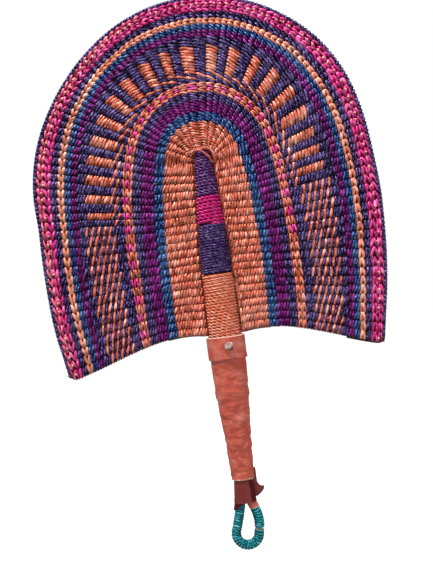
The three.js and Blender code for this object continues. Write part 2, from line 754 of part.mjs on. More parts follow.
function buildLoop() {
  const coreSteps = 28;
  const coreSides = 8;
  const sections = Array.from({ length: coreSteps + 1 }, (_, i) => {
    const { point, away } = loopFrame((loopLength * i) / coreSteps);
    return Array.from({ length: coreSides }, (__, j) => {
      const angle = (j * 2 * Math.PI) / coreSides;
      return point.clone()
        .addScaledVector(away, loopCoreRadius * Math.cos(angle))
        .add(new THREE.Vector3(0, loopCoreRadius * Math.sin(angle), 0));
    });
  });
  addPiece('loop_core', loft(sections), 'straw');

  const radius = LOOP_STRAND / 2;
  const mouth = wrapMouth - FIT;
  const breakAt = loopDistanceAt(LOOP_BREAK_RISE + wrapMouth - LOOP_DROP, true);
  const tabTop = loopDistanceAt(wrapMouth - FIT, true, tabOuter);
  const tabEnd = tabTop - TAB_LENGTH;
  const leftStart = loopDistanceAt(mouth, false, LOOP_THICKNESS / 2);
  const left = loopWinding(leftStart, breakAt - LOOP_BREAK / 2, LOOP_TURNS_LEFT);
  const right = loopWinding(breakAt + LOOP_BREAK / 2, tabEnd - radius - FIT, LOOP_TURNS_RIGHT);
  addPiece('loop_binding_left', strand(left.points, left.outs, radius, STRAND_SIDES), 'teal');
  addPiece('loop_binding_right', strand(right.points, right.outs, radius, STRAND_SIDES), 'teal');
  printGap('loop_binding_left', left.points, radius, LOOP_STEPS);
  printGap('loop_binding_right', right.points, radius, LOOP_STEPS);

  buildTab(tabEnd, tabTop);
}

// Leather tab: a short tube round the right leg, square to it, from the mouth of the wrap
function buildTab(start, end) {
  const sides = 16;
  const inner = loopCoreRadius + FIT;
  const ends = [0, 1].map((share) => loopFrame(start + (end - start) * share));
  const sections = Array.from({ length: sides }, (_, j) => {
    const angle = (j * 2 * Math.PI) / sides;
    const ring = (frame, r) => frame.point.clone()
      .addScaledVector(frame.away, r * Math.cos(angle))
      .add(new THREE.Vector3(0, r * Math.sin(angle), 0));
    return [ring(ends[0], inner), ring(ends[0], tabOuter), ring(ends[1], tabOuter), ring(ends[1], inner)];
  });
  addPiece('loop_tab', loft(sections, true), 'tan');
}

buildStickAndPeg();
buildBundle();
buildBindings();
buildTipStrand();
buildStakes();
buildWefts();
buildRim();
buildCollar();
buildSleeve();
buildEndWrap();
buildTail();
buildLoop();

export default fan;
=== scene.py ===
"""A hand-woven straw fan: twined blade, bound spine, leather grip and bound hanging loop.

Sizes are millimetres in the frame of the CAD part: +Z up the handle, +X to the right, and the
front of the blade faces -Y. Meshes are turned into metres as they are made.
"""

import math

import bmesh
import bpy
import numpy as np
from mathutils import Matrix, Vector, noise


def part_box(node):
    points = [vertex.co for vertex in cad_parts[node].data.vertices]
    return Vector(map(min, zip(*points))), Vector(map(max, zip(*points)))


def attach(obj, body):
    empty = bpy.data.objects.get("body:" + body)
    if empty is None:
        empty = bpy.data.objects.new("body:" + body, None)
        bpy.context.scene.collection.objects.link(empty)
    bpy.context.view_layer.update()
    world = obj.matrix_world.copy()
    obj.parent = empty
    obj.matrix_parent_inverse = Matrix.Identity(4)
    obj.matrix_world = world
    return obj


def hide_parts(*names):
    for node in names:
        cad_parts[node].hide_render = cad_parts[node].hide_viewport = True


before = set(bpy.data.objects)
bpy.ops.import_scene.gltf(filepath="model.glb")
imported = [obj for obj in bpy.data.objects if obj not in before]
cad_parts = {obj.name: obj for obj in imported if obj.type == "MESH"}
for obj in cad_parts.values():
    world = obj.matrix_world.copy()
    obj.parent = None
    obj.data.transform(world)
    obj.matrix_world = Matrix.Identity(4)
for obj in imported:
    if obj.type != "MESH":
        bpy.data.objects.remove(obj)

bl_info = {
    "name": "Straw Hand Fan",
    "version": (1, 0, 0),
    "blender": (4, 5, 0),
    "location": "3D View > Sidebar > Fan",
    "description": "Builds a twined straw hand fan round its packed solids",
    "category": "Add Mesh",
}

MM = 0.001
PHOTO_SIZE = (433, 577)


def top_of(node):
    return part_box(node)[1].z / MM


def bottom_of(node):
    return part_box(node)[0].z / MM


# Levels and clearances of the solids
SLEEVE_END = -54.5
SLEEVE_TOP = 54.5
COLLAR_TOP = top_of("collar")
WRAP_MOUTH = bottom_of("end_wrap")
SPINE_LENGTH = 164.0
SPINE_TIP = COLLAR_TOP + SPINE_LENGTH
OVAL_RATIO = 0.78
COLLAR_HALF = 15.9

# Blade outline
BLADE_HALF_WIDTH = 156.0
SPINE_FOOT_HALF, SPINE_TIP_HALF = 15.1, 8.5
CROWN_TOP = SPINE_TIP + 141.5
SHOULDER_Z = SPINE_TIP - 34.0
ARCH_Z = SPINE_TIP - 11.0
ARCH_TOP = SPINE_TIP + 3.6
FOOT_SEAT = 2.3
FOOT_Z = COLLAR_TOP + FOOT_SEAT - 26.0
FOOT_INSET, FOOT_FLARE = 13.0, 1.6
FOOT_CORNER, CORNER_FADE = 9.0, 0.25
FOOT_BOW, BOW_FADE = 52.0, 1.5
INNER_LEG, OUTER_LEG = 0.3, 0.22
BLADE_TO_SPINE = 0.6
BLADE_REACH = BLADE_HALF_WIDTH - SPINE_FOOT_HALF

# Stakes: how many lie side by side in the legs and in the crown, near the spine, in the
# middle of the blade and at its rim; the rows where they start, split and end; half their
# width as a share of their spacing
LEG_STAKES = {"left": 21, "right": 22, "outer_end": 0.246}
ARCH_STAKES, BLUE_STAKES = 12, 20
RIM_STAKES = {"leg": 18, "crown": 73}
STAKE_ROWS = (-0.008, 0.2, 0.26, 0.74, 0.977)
STAKE_OVERLAP = 0.008
STAKE_HALF_WIDTH, STAKE_HALF_DEPTH = 0.58, 1.3
STAKE_STEPS = 28

# Middles of the orange rays round the crown, as shares of the way round the blade
RAYS = (0.214, 0.234, 0.256, 0.277, 0.299, 0.327, 0.358, 0.392, 0.428, 0.4625,
        0.495, 0.533, 0.567, 0.602, 0.634, 0.669, 0.698, 0.722, 0.741, 0.759)
STIPPLE_LEFT, STIPPLE_RIGHT = 14, 16
RAY_MARGIN = 0.0095
PLAIN_CHECK_FROM = 0.84
CROWN_CHECK = (0.24, 0.76)
PINK_UNTIL = 0.45

# Where the hand-made rows stray from their place, in thousandths of the blade's reach, every
# twenty-fifth of the way round: beside the spine, in the check, in the outer chain and at the rim
SWAY = {
    0.23: (4, 4, 4, -1, -2, -4, -10, -20, -27, -26, -24, -21, -20,
           -24, -30, -34, -34, -30, -26, -21, -19, -12, -5, -5, -6, -6),
    0.41: (22, 22, 16, 12, 12, 9, 4, -1, -8, -10, -8, -8, -8,
           -10, -12, -16, -19, -18, -17, -19, -13, -4, 4, 13, 18, 18),
    0.84: (0, 4, 12, 6, -6, -18, -22, -24, -27, -30, -32, -30, -26,
           -17, -10, -2, 4, -8, -21, -25, -13, -4, -2, 2, -6, -8),
    1.0: (6, 10, 16, 8, -4, -18, -3, -8, -26, -34, -35, -32, -22,
          -14, -4, 10, 24, 14, -10, -26, -8, 0, 8, 6, -6, -10),
}
SWAY_STEPS = np.linspace(0, 1, 401)
SOFTENING = 11
WARP = 1.3

# Samples of one stitch, in stake spacings from the stake's middle, and its form: how far back the
# strands cross, how flat it lies beside the spine, how loose or slanted a hand makes it, how
# narrow it is where it crosses, and how much painted shade darkens it there, at the feet and in the
# row tucked beside the spine
STITCH_STEPS = np.array([-0.38, -0.2, 0.0, 0.2, 0.38, 0.5])
CROSSING_SHIFT = 0.9
FLAT_CREST, FLAT_UNTIL = 0.35, 0.07
LOOSENESS, LOOSEST = 0.05, 1.06
SLOPE_SPREAD, ROW_WANDER = 0.25, 0.3
STITCH_WAIST, STITCH_SWELL = 0.62, 0.38
STITCH_SHADE, FOOT_SHADE, TUCKED_SHADE = 0.64, 0.3, 0.95

# Border and edging: where the border's two rows meet, and the edging's middle line and section
BORDER_MIDDLE = 0.9385
RIM_MIDDLE, RIM_HALF_WIDTH, RIM_HALF_THICK = 0.9845, 0.0118, 0.75
RIM_TURNS, RIM_STEPS = 2, 12

# A stake's cut end from root to tip: place between spine and rim, depth, share of its lean, half
# width and half thickness; then how much its lean, size, place and tip differ, and how many are missing
CUT_END = np.array([(0.9285, -0.8, 0.0, 1.3, 1.0), (0.9355, -2.4, 0.3, 1.25, 0.95),
                    (0.9425, -3.9, 0.7, 1.2, 0.9), (0.9475, -4.8, 1.0, 1.0, 0.75)]).T
END_SPREADS = ((-0.0022, 0.0022), (0.65, 1.0), (-0.008, 0.008), (-0.4, 0.5))
MISSING_ENDS = 0.25

# Longest straw, along which each strand takes its fibres from a place of its own
STRAW_RUN = 4000


# Numbers on straight or rounded lines

def between(pairs, x):
    return np.interp(x, [p[0] for p in pairs], [p[1] for p in pairs])


def circle(sides):
    """The angles of that many points round a circle."""
    return np.arange(sides) * 2 * math.pi / sides


def spaced(count, start, width):
    """The middles of that many equal spaces, side by side."""
    return start + (np.arange(count) + 0.5) * width / count


def spine_half(z):
    """Half width of the wound spine at a level."""
    halves = [(0, SPINE_FOOT_HALF), (82, 14.1), (128, 11.3), (SPINE_LENGTH, SPINE_TIP_HALF)]
    return between(halves, z - COLLAR_TOP)


def sleeve_half(z):
    """Half width of the leather sleeve, with soft shoulders in place of the solid's corners."""
    drops = [(0, COLLAR_HALF), (22, 15.7), (66, 12.3), (109, 10.0)]
    spread = (-9, -4.5, 0, 4.5, 9)
    return np.mean([between(drops, SLEEVE_TOP - z + shift) for shift in spread], axis=0)


def smooth_line(knots, count):
    """Points on a rounded line through the knots, evenly spaced."""
    knots = np.asarray(knots, float)
    ends = np.vstack([2 * knots[0] - knots[1], knots, 2 * knots[-1] - knots[-2]])
    dense = []
    for i in range(1, len(ends) - 2):
        p0, p1, p2, p3 = ends[i - 1:i + 3]
        steps = np.linalg.norm(np.diff(ends[i - 1:i + 3], axis=0), axis=1) ** 0.5
        t0, t1, t2, t3 = np.concatenate([[0], np.cumsum(steps)])
        t = np.linspace(t1, t2, 40, endpoint=False)[:, None]
        a1 = (t1 - t) / (t1 - t0) * p0 + (t - t0) / (t1 - t0) * p1
        a2 = (t2 - t) / (t2 - t1) * p1 + (t - t1) / (t2 - t1) * p2
        a3 = (t3 - t) / (t3 - t2) * p2 + (t - t2) / (t3 - t2) * p3
        b1 = (t2 - t) / (t2 - t0) * a1 + (t - t0) / (t2 - t0) * a2
        b2 = (t3 - t) / (t3 - t1) * a2 + (t - t1) / (t3 - t1) * a3
        dense.append((t2 - t) / (t2 - t1) * b1 + (t - t1) / (t2 - t1) * b2)
    dense = np.vstack(dense + [knots[-1:]])
    return along_line(dense, np.linspace(0, 1, count))


def line_length(points):
    return np.linalg.norm(np.diff(points, axis=0), axis=1).sum()


def distances(points):
    """How far along a line each of its points lies."""
    return np.concatenate([[0], np.cumsum(np.linalg.norm(np.diff(points, axis=0), axis=1))])


def along_line(points, shares):
    """Points at those shares of a line's length."""
    run = distances(points)
    return np.column_stack([np.interp(shares * run[-1], run, points[:, k]) for k in range(3)])


def unit(vectors):
    return vectors / np.maximum(np.linalg.norm(vectors, axis=-1, keepdims=True), 1e-9)


def directions(points, ring=False):
    if ring:
        return unit(np.roll(points, -1, axis=0) - np.roll(points, 1, axis=0))
    return unit(np.gradient(points, axis=0))


def square_to(vectors, along):
    """The vectors with what runs along the line taken out, at length one."""
    return unit(vectors - (vectors * along).sum(axis=1, keepdims=True) * along)


# Blade surface

def inner_line(h):
    """The blade's edge along the spine and over its tip, h from a foot up to the crown's middle."""
    start = COLLAR_TOP + FOOT_SEAT
    z_leg = start + (ARCH_Z - start) * h / INNER_LEG
    turn = np.clip((h - INNER_LEG) / (0.5 - INNER_LEG), 0, 1) * math.pi / 2
    half = spine_half(ARCH_Z) + BLADE_TO_SPINE
    x_arch = half * np.sqrt(np.maximum(np.cos(turn), 0))
    z_arch = ARCH_Z + (ARCH_TOP - ARCH_Z) * np.sqrt(np.sin(turn))
    leg = h < INNER_LEG
    return np.where(leg, spine_half(z_leg) + BLADE_TO_SPINE, x_arch), np.where(leg, z_leg, z_arch)


def outer_line(h):
    """The blade's rim, h from a foot up to the crown's middle."""
    k = np.clip(h / OUTER_LEG, 0, 1)
    turn = np.clip((h - OUTER_LEG) / (0.5 - OUTER_LEG), 0, 1) * math.pi / 2
    leg = h < OUTER_LEG
    x = np.where(leg, BLADE_HALF_WIDTH - FOOT_INSET * (1 - k) ** FOOT_FLARE, BLADE_HALF_WIDTH * np.cos(turn))
    z_leg = FOOT_Z + (SHOULDER_Z - FOOT_Z) * k
    z = np.where(leg, z_leg, SHOULDER_Z + (CROWN_TOP - SHOULDER_Z) * np.sin(turn))
    return x, z


def softened(strays):
    """A row of SWAY as a smooth curve."""
    dense = np.interp(SWAY_STEPS, np.linspace(0, 1, len(strays)), strays)
    window = np.hanning(2 * SOFTENING + 1)
    return np.convolve(np.pad(dense, SOFTENING, mode="edge"), window / window.sum(), mode="valid") / 1000


SWAY_CURVES = [(0.0, 0 * SWAY_STEPS)] + [(f, softened(strays)) for f, strays in SWAY.items()]


def sway(t, f):
    """How far the hand-made rows stray outwards, as a share of the blade's reach."""
    total = np.zeros(np.shape(f))
    for (f0, curve0), (f1, curve1) in zip(SWAY_CURVES[:-1], SWAY_CURVES[1:]):
        share = np.clip((f - f0) / (f1 - f0), 0, 1)
        total += share * np.interp(t, SWAY_STEPS, curve1 - curve0)
    return total


def blade(t, f, y):
    """Points of the blade: t runs from the left foot round to the right foot, f from spine to rim."""
    t, f, y = np.broadcast_arrays(np.asarray(t, float), np.asarray(f, float), np.asarray(y, float))
    f = f + sway(t, f)
    y = y + WARP * (np.sin(31 * t + 3 * f) * np.sin(17 * t + 1.3) * np.clip(f, 0, 1) ** 1.5)
    h = np.clip(np.minimum(t, 1 - t), 0, 0.5)
    xi, zi = inner_line(h)
    xo, zo = outer_line(h)
    from_foot = np.minimum(h / OUTER_LEG, 1)
    share = np.clip(f, 0, 1)
    bow = FOOT_BOW * share * (1 - share) ** 2 * (1 - from_foot) ** BOW_FADE
    into = np.clip(FOOT_CORNER - (1 - f) * BLADE_REACH, 0, FOOT_CORNER)
    corner = FOOT_CORNER - np.sqrt(FOOT_CORNER ** 2 - into ** 2)
    rounding = corner * np.maximum(0, 1 - from_foot / CORNER_FADE)
    x = np.where(t < 0.5, -1, 1) * (xi + (xo - xi) * f)
    return np.stack([x, y, zi + (zo - zi) * f + bow + rounding], axis=-1)


def outward_at(t, f):
    """How the blade runs from the spine to the rim, per unit of f."""
    step = 0.004
    return (blade(t, f + step, 0) - blade(t, f - step, 0)) / (2 * step)


def round_at(t, f):
    """How the blade runs from foot to foot, per unit of t."""
    step = 0.002
    low, high = np.clip(t - step, 0, 1), np.clip(t + step, 0, 1)
    return (blade(high, f, 0) - blade(low, f, 0)) / (high - low)[..., None]


def unevenly(stakes, seed):
    """Stakes moved a little aside, as a hand spaces them."""
    return stakes + np.gradient(stakes) * np.random.default_rng(seed).uniform(-0.1, 0.1, len(stakes))


def legs_and_arch(f, in_arch):
    """Middles of the stakes beside the spine, where they spread as they run outwards, and in the arch."""
    end = INNER_LEG + (LEG_STAKES["outer_end"] - INNER_LEG) * f
    left, right = spaced(LEG_STAKES["left"], 0, end), spaced(LEG_STAKES["right"], 1 - end, end)
    return unevenly(np.concatenate([left, spaced(in_arch, end, 1 - 2 * end), right]), 3)


def inner_stakes(f):
    return legs_and_arch(f, ARCH_STAKES)


def blue_stakes(f):
    return legs_and_arch(f, BLUE_STAKES)


def middle_stakes(f):
    """Middles of the stakes in the middle of the blade: one a ray and one between two rays."""
    rays = np.array(RAYS)
    first, last = rays[0] - RAY_MARGIN, rays[-1] + RAY_MARGIN
    crown = np.sort(np.concatenate([rays, (rays[1:] + rays[:-1]) / 2]))
    left_end, right_start = first - RAY_MARGIN / 2, last + RAY_MARGIN / 2
    left, right = spaced(STIPPLE_LEFT, 0, left_end), spaced(STIPPLE_RIGHT, right_start, 1 - right_start)
    return unevenly(np.concatenate([left, [first], crown, [last], right]), 4)


def rim_stakes(f):
    """Middles of the stakes of the outer chain and the border."""
    left = spaced(RIM_STAKES["leg"], 0, OUTER_LEG)
    middle = spaced(RIM_STAKES["crown"], OUTER_LEG, 1 - 2 * OUTER_LEG)
    return unevenly(np.concatenate([left, middle, 1 - left[::-1]]), 5)


# Colour plans of the bands that use two colours: what shows in front, by row and stake

def is_ray(stake):
    """Whether a stake of the middle of the blade carries a ray, or none where it is stippled."""
    from_first = stake - STIPPLE_LEFT - 1
    if from_first < -1 or from_first > 2 * len(RAYS) - 1:
        return None
    return from_first % 2 == 0


def plain_plan(row, stake, t):
    return 0


def check_plan(row, stake, t):
    if row == 0 or t > PLAIN_CHECK_FROM or row == 3 and CROWN_CHECK[0] < t < CROWN_CHECK[1]:
        return 0
    return stake % 2


def ray_plan(row, stake, t):
    ray = is_ray(stake)
    if ray is None:
        return (row + stake) % 2 if 3 <= row <= 12 else 0
    if row < 1 or row > 11:
        return 0
    return int(ray != (row == 2))


def border_plan(row, stake, t):
    return int(t > PINK_UNTIL)


# The rows whose other strand, behind a stake, has the other colour
TURNED_ROWS = {check_plan: range(1, 4), ray_plan: range(1, 13)}


class Band:
    """A group of weft rows of one colour or colour plan."""

    def __init__(self, node, slot, rows, edges, stakes, dyes, plan=plain_plan, slants=(-0.4,), full=1.0):
        self.node = node
        self.piece = node.replace("weft_", "weave_").replace("braid_", "border_")
        self.slot, self.rows, self.edges, self.stakes = "straw_" + slot, rows, edges, stakes
        self.dyes, self.plan, self.slants, self.full = dyes, plan, slants, full


BANDS = [
    Band("weft_orange_field", "orange", 12, (-0.018, 0.2), inner_stakes, ["orange"]),
    Band("weft_blue_inner", "blue", 3, (0.2, 0.26), blue_stakes, ["blue"]),
    Band("weft_purple_inner", "purple", 4, (0.26, 0.33), middle_stakes, ["purple"]),
    Band("weft_navy_inner", "navy", 3, (0.33, 0.38), middle_stakes, ["navy"]),
    Band("weft_check", "check", 4, (0.38, 0.44), middle_stakes, ["orange", "magenta"], check_plan,
         (-0.24, 0.2, -0.2, 0.24)),
    Band("weft_rays", "rays", 15, (0.44, 0.74), middle_stakes, ["navy", "orange"], ray_plan, (-0.42,)),
    Band("weft_purple_outer", "purple", 2, (0.74, 0.78), rim_stakes, ["purple"]),
    Band("weft_blue_outer", "blue", 2, (0.78, 0.82), rim_stakes, ["blue"]),
    Band("weft_orange_outer", "orange", 2, (0.82, 0.86), rim_stakes, ["orange_pale"], plain_plan,
         (-0.24, 0.24), 1.06),
    Band("weft_navy_outer", "navy", 2, (0.86, 0.9), rim_stakes, ["navy"]),
]
BRAIDS = [
    Band("braid_magenta", "magenta", 2, (0.9, BORDER_MIDDLE), rim_stakes, ["magenta"], plain_plan,
         (-0.24, 0.3)),
    Band("braid_pink", "pink", 2, (BORDER_MIDDLE, 0.975), rim_stakes, ["pink", "magenta"], border_plan,
         (-0.2, 0.26)),
]


# Meshes

class Shape:
    """Tubes and sheets of one piece, collected before they become one mesh."""

    def __init__(self, seed=1):
        self.points, self.faces, self.inks = [], [], []
        # valley: how much painted shade, the deep dye, darkens a point of straw; painted glints show only
        # where it is low
        self.lay, self.raw, self.valley = [], [], []
        self.count = 0
        self.random = np.random.default_rng(seed)

    def add_grid(self, grid, ring=False, inks=0, lay=0.0, raw=0.0, valley=0.0):
        """Closed rows of points (rows, columns, 3) as faces; in a ring the last row joins the first."""
        rows, columns = grid.shape[:2]
        lower = np.arange(rows if ring else rows - 1)
        row, here = np.meshgrid(lower, np.arange(columns), indexing="ij")
        start, above, right = row * columns, (row + 1) % rows * columns, (here + 1) % columns
        quads = np.stack([start + here, start + right, above + right, above + here], axis=-1)
        self.faces.extend((quads.reshape(-1, 4) + self.count).tolist())
        self.inks.extend(np.repeat(np.broadcast_to(inks, len(lower)), columns).tolist())
        self.points.append(grid.reshape(-1, 3))
        self.lay.append(np.broadcast_to(lay, grid.shape).reshape(-1, 3))
        for kept, given in ((self.raw, raw), (self.valley, valley)):
            kept.append(np.broadcast_to(given, (rows, columns)).reshape(-1))
        self.count += rows * columns
        return self.count - rows * columns

    def add_face(self, corners, turned, ink=0):
        self.faces.append(corners[::-1] if turned else corners)
        self.inks.append(ink)

    def add_body(self, grid, **marks):
        """Closed rows of points as a body, with a cap on its first and its last row."""
        first = self.add_grid(grid, **marks)
        rows, columns = grid.shape[:2]
        for start, turned in ((first, True), (first + (rows - 1) * columns, False)):
            self.add_face([start + i for i in range(columns)], turned)

    def add_tube(self, line, across, wide, thick, sides=6, ring=False, inks=0, raw_ends=False, valley=0.0):
        """A strand: wide is its half width along across, thick its half thickness."""
        along = directions(line, ring)
        across = square_to(across, along)
        normal = np.cross(along, across)
        cos, sin = np.cos(circle(sides)), np.sin(circle(sides))
        wide, thick = (np.broadcast_to(size, len(line))[:, None] for size in (wide, thick))
        grid = (line[:, None]
                + (wide * cos)[..., None] * across[:, None]
                + (thick * sin)[..., None] * normal[:, None])
        run = distances(line) + self.random.uniform(0, STRAW_RUN)
        lay = np.empty(grid.shape)
        lay[..., 0], lay[..., 1], lay[..., 2] = cos, sin, run[:, None]
        raw = np.zeros(grid.shape[:2])
        if raw_ends:
            raw[0], raw[-1] = 1, 1
        marks = {"inks": inks, "lay": lay, "raw": raw, "valley": np.reshape(valley, (-1, 1))}
        if ring:
            self.add_grid(grid, True, **marks)
        else:
            self.add_body(grid, **marks)

    def make(self, name, slot, materials, replaced):
        """The mesh as a piece that rides on the fan and stands for those solids."""
        mesh = bpy.data.meshes.new(name)
        points = np.vstack(self.points) * MM
        mesh.from_pydata(points.tolist(), [], self.faces)
        mesh.polygons.foreach_set("use_smooth", np.ones(len(self.faces), bool))
        mesh.polygons.foreach_set("material_index", np.array(self.inks, np.int32))
        lay = mesh.attributes.new("lay", "FLOAT_VECTOR", "POINT")
        lay.data.foreach_set("vector", np.vstack(self.lay).astype(np.float32).ravel())
        for key, values in (("raw", self.raw), ("valley", self.valley)):
            mask = mesh.attributes.new(key, "FLOAT", "POINT")
            mask.data.foreach_set("value", np.concatenate(values).astype(np.float32))
        for material in materials:
            mesh.materials.append(material)
        mesh.update()
        piece = bpy.data.objects.new(name, mesh)
        bpy.context.scene.collection.objects.link(piece)
        turn_outward(mesh)
        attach(piece, "root")
        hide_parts(replaced)
        return piece


def turn_outward(mesh):
    """Turns each closed body of a mesh the right way out."""
    work = bmesh.new()
    work.from_mesh(mesh)
    bmesh.ops.recalc_face_normals(work, faces=work.faces)
    work.to_mesh(mesh)
    work.free()


# Materials

def linear(hex_colour):
    """A written colour as the four numbers that a shader socket takes."""
    parts = [int(hex_colour[i:i + 2], 16) / 255 for i in (0, 2, 4)]
    return tuple(c / 12.92 if c <= 0.04045 else ((c + 0.055) / 1.055) ** 2.4 for c in parts) + (1.0,)


def as_hex(colour):
    """A colour setting, which Blender keeps linear, as it is written."""
    parts = [c * 12.92 if c <= 0.0031308 else 1.055 * c ** (1 / 2.4) - 0.055 for c in colour[:3]]
    return "".join(f"{round(255 * c):02x}" for c in parts)


def new_group(name, inputs):
    """A node group for a finish: its tree, what comes in by name, and where its outputs go."""
    group = bpy.data.node_groups.new(name, "ShaderNodeTree")
    for kind, sockets in inputs.items():
        for socket in sockets:
            group.interface.new_socket(socket, in_out="INPUT", socket_type="NodeSocket" + kind)
    for socket, kind in (("Colour", "Color"), ("Roughness", "Float"), ("Height", "Float")):
        group.interface.new_socket(socket, in_out="OUTPUT", socket_type="NodeSocket" + kind)
    return group, group.nodes.new("NodeGroupInput").outputs, group.nodes.new("NodeGroupOutput").inputs


def feed(tree, socket, value):
    """Links an input to another node's output, or sets it to a plain value."""
    if isinstance(value, bpy.types.NodeSocket):
        tree.links.new(value, socket)
    else:
        socket.default_value = value


def add_node(tree, kind, links=(), **values):
    """A node with its properties set, and its inputs set or linked."""
    node = tree.nodes.new(kind)
    for key, value in values.items():
        setattr(node, key, value)
    for socket, value in dict(links).items():
        feed(tree, node.inputs[socket], value)
    return node


def cloud(tree, vector, stretch, detail=2.0, roughness=0.5):
    """Soft noise; stretch gives its scale along x, y and z."""
    scaled = add_node(tree, "ShaderNodeVectorMath", {0: vector, 1: stretch}, operation="MULTIPLY")
    links = {"Vector": scaled.outputs["Vector"], "Scale": 1.0, "Detail": detail, "Roughness": roughness}
    return add_node(tree, "ShaderNodeTexNoise", links).outputs["Fac"]


def ramped(tree, value, low, high, to_low=0.0, to_high=1.0):
    links = {"Value": value, "From Min": low, "From Max": high, "To Min": to_low, "To Max": to_high}
    return add_node(tree, "ShaderNodeMapRange", links, clamp=True).outputs["Result"]


def reckoned(tree, operation, *values):
    return add_node(tree, "ShaderNodeMath", dict(enumerate(values)), operation=operation).outputs["Value"]


def product(tree, a, b):
    return reckoned(tree, "MULTIPLY", a, b)


def mixed(tree, factor, a, b):
    return add_node(tree, "ShaderNodeMix", {0: factor, 6: a, 7: b}, data_type="RGBA").outputs[2]


def layered(tree, given, base, layers):
    """A base colour under layers: each is a colour and the masks that it shows through."""
    colour = given[base]
    for tint, mask, *others in layers:
        for other in others:
            mask = product(tree, mask, other)
        colour = mixed(tree, mask, colour, given[tint])
    return colour


def straw_group():
    """Dyed straw: fibres along the strand, uneven dye, painted shade on the strands' sides and in the weave's
    hollows, painted glints along the crests, and pale specks that are partly undyed flecks and partly painted
    glints.
    """
    group, given, made = new_group("Dyed straw", {
        "Vector": ("Lay", "Place"), "Float": ("Valley", "Raw", "Unevenness", "Specks And Glints"),
        "Color": ("Dye", "Deep Dye And Shade", "Pale Dye And Glint", "Straw")})
    lay, valley, uneven, glint_and_speck_amount = (given[key] for key in ("Lay", "Valley", "Unevenness", "Specks And Glints"))
    fibres = cloud(group, lay, (3.4, 3.4, 0.22), 3.0, 0.6)
    tone = cloud(group, lay, (0.25, 0.25, 0.12), 1.0)
    specks = cloud(group, lay, (1.8, 1.8, 0.5))
    glint_noise = cloud(group, lay, (1.3, 1.3, 0.3))
    patches = cloud(group, given["Place"], (28.0, 28.0, 28.0))
    parts = add_node(group, "ShaderNodeSeparateXYZ", {"Vector": lay})
    sideways = reckoned(group, "ABSOLUTE", parts.outputs["X"])
    # crest and middle place the painted glints: on the strand's crest, away from its painted shade, and along
    # its middle
    crest = ramped(group, valley, 0.35, 0.0)
    middle = product(group, crest, ramped(group, sideways, 0.42, 0.1))
    feed(group, made["Colour"], layered(group, given, "Dye", (
        ("Deep Dye And Shade", ramped(group, tone, 0.56, 0.38), uneven),
        ("Deep Dye And Shade", ramped(group, fibres, 0.5, 0.34, 0.0, 0.6)),
        ("Pale Dye And Glint", ramped(group, tone, 0.57, 0.75), uneven),
        ("Pale Dye And Glint", ramped(group, patches, 0.5, 0.72, 0.0, 0.25), uneven),
        # Painted glints: pale streaks along the middle of each crest and fine pale fibres on it; the pale
        # specks after them are partly undyed flecks and partly painted glints
        ("Pale Dye And Glint", ramped(group, glint_noise, 0.48, 0.6, 0.0, 0.55), glint_and_speck_amount, middle),
        ("Pale Dye And Glint", ramped(group, fibres, 0.6, 0.68, 0.0, 0.4), glint_and_speck_amount, crest),
        ("Pale Dye And Glint", ramped(group, specks, 0.62, 0.7), glint_and_speck_amount),
        # Painted shade: the strand's sides, where it turns away, and the hollows of the weave that valley
        # marks darken to the deep dye
        ("Deep Dye And Shade", ramped(group, sideways, 0.55, 1.0, 0.0, 0.55)),
        ("Deep Dye And Shade", ramped(group, valley, 0.4, 1.0, 0.0, 0.97)),
        ("Straw", given["Raw"]),
    )))
    feed(group, made["Roughness"], ramped(group, fibres, 0.3, 0.7, 0.36, 0.2))
    feed(group, made["Height"], fibres)
    return group


def leather_group():
    """Worn leather: soft mottling, fine grain and pale raw edges."""
    group, given, made = new_group("Worn leather", {
        "Vector": ("Place",), "Float": ("Raw",), "Color": ("Hide", "Rubbed", "Creased", "Raw Edge")})
    place = given["Place"]
    mottle = cloud(group, place, (60, 60, 85))
    streaks = cloud(group, place, (75, 75, 150))
    pores = cloud(group, place, (420, 420, 560))
    cells = add_node(group, "ShaderNodeTexVoronoi", {"Vector": place, "Scale": 950.0})
    grain = ramped(group, cells.outputs["Distance"], 0.05, 0.7)
    feed(group, made["Colour"], layered(group, given, "Hide", (
        ("Rubbed", ramped(group, mottle, 0.5, 0.72, 0.0, 0.6)),
        ("Rubbed", ramped(group, pores, 0.52, 0.66, 0.0, 0.12)),
        ("Creased", ramped(group, pores, 0.46, 0.32, 0.0, 0.12)),
        ("Rubbed", ramped(group, streaks, 0.53, 0.7, 0.0, 0.28)),
        ("Creased", ramped(group, streaks, 0.47, 0.3, 0.0, 0.25)),
        ("Raw Edge", ramped(group, given["Raw"], 0.3, 0.75)),
    )))
    feed(group, made["Roughness"], ramped(group, mottle, 0.3, 0.7, 0.62, 0.42))
    feed(group, made["Height"], reckoned(group, "ADD", product(group, grain, 0.35), streaks))
    return group


def new_material(name):
    """An empty material with its Principled shader's inputs."""
    material = bpy.data.materials.new(name)
    material.use_nodes = True
    return material, material.node_tree, material.node_tree.nodes["Principled BSDF"].inputs


def attribute(tree, key, kind="Fac"):
    return add_node(tree, "ShaderNodeAttribute", attribute_name=key).outputs[kind]


def object_place(tree):
    return add_node(tree, "ShaderNodeTexCoord").outputs["Object"]


def finish(tree, shader, colour, roughness, height, bump, distance):
    """Gives a material's shader its colour, its roughness and its relief."""
    bumped = add_node(tree, "ShaderNodeBump", {"Height": height, "Strength": bump, "Distance": distance})
    feed(tree, shader["Base Color"], colour)
    feed(tree, shader["Roughness"], roughness)
    feed(tree, shader["Normal"], bumped.outputs["Normal"])


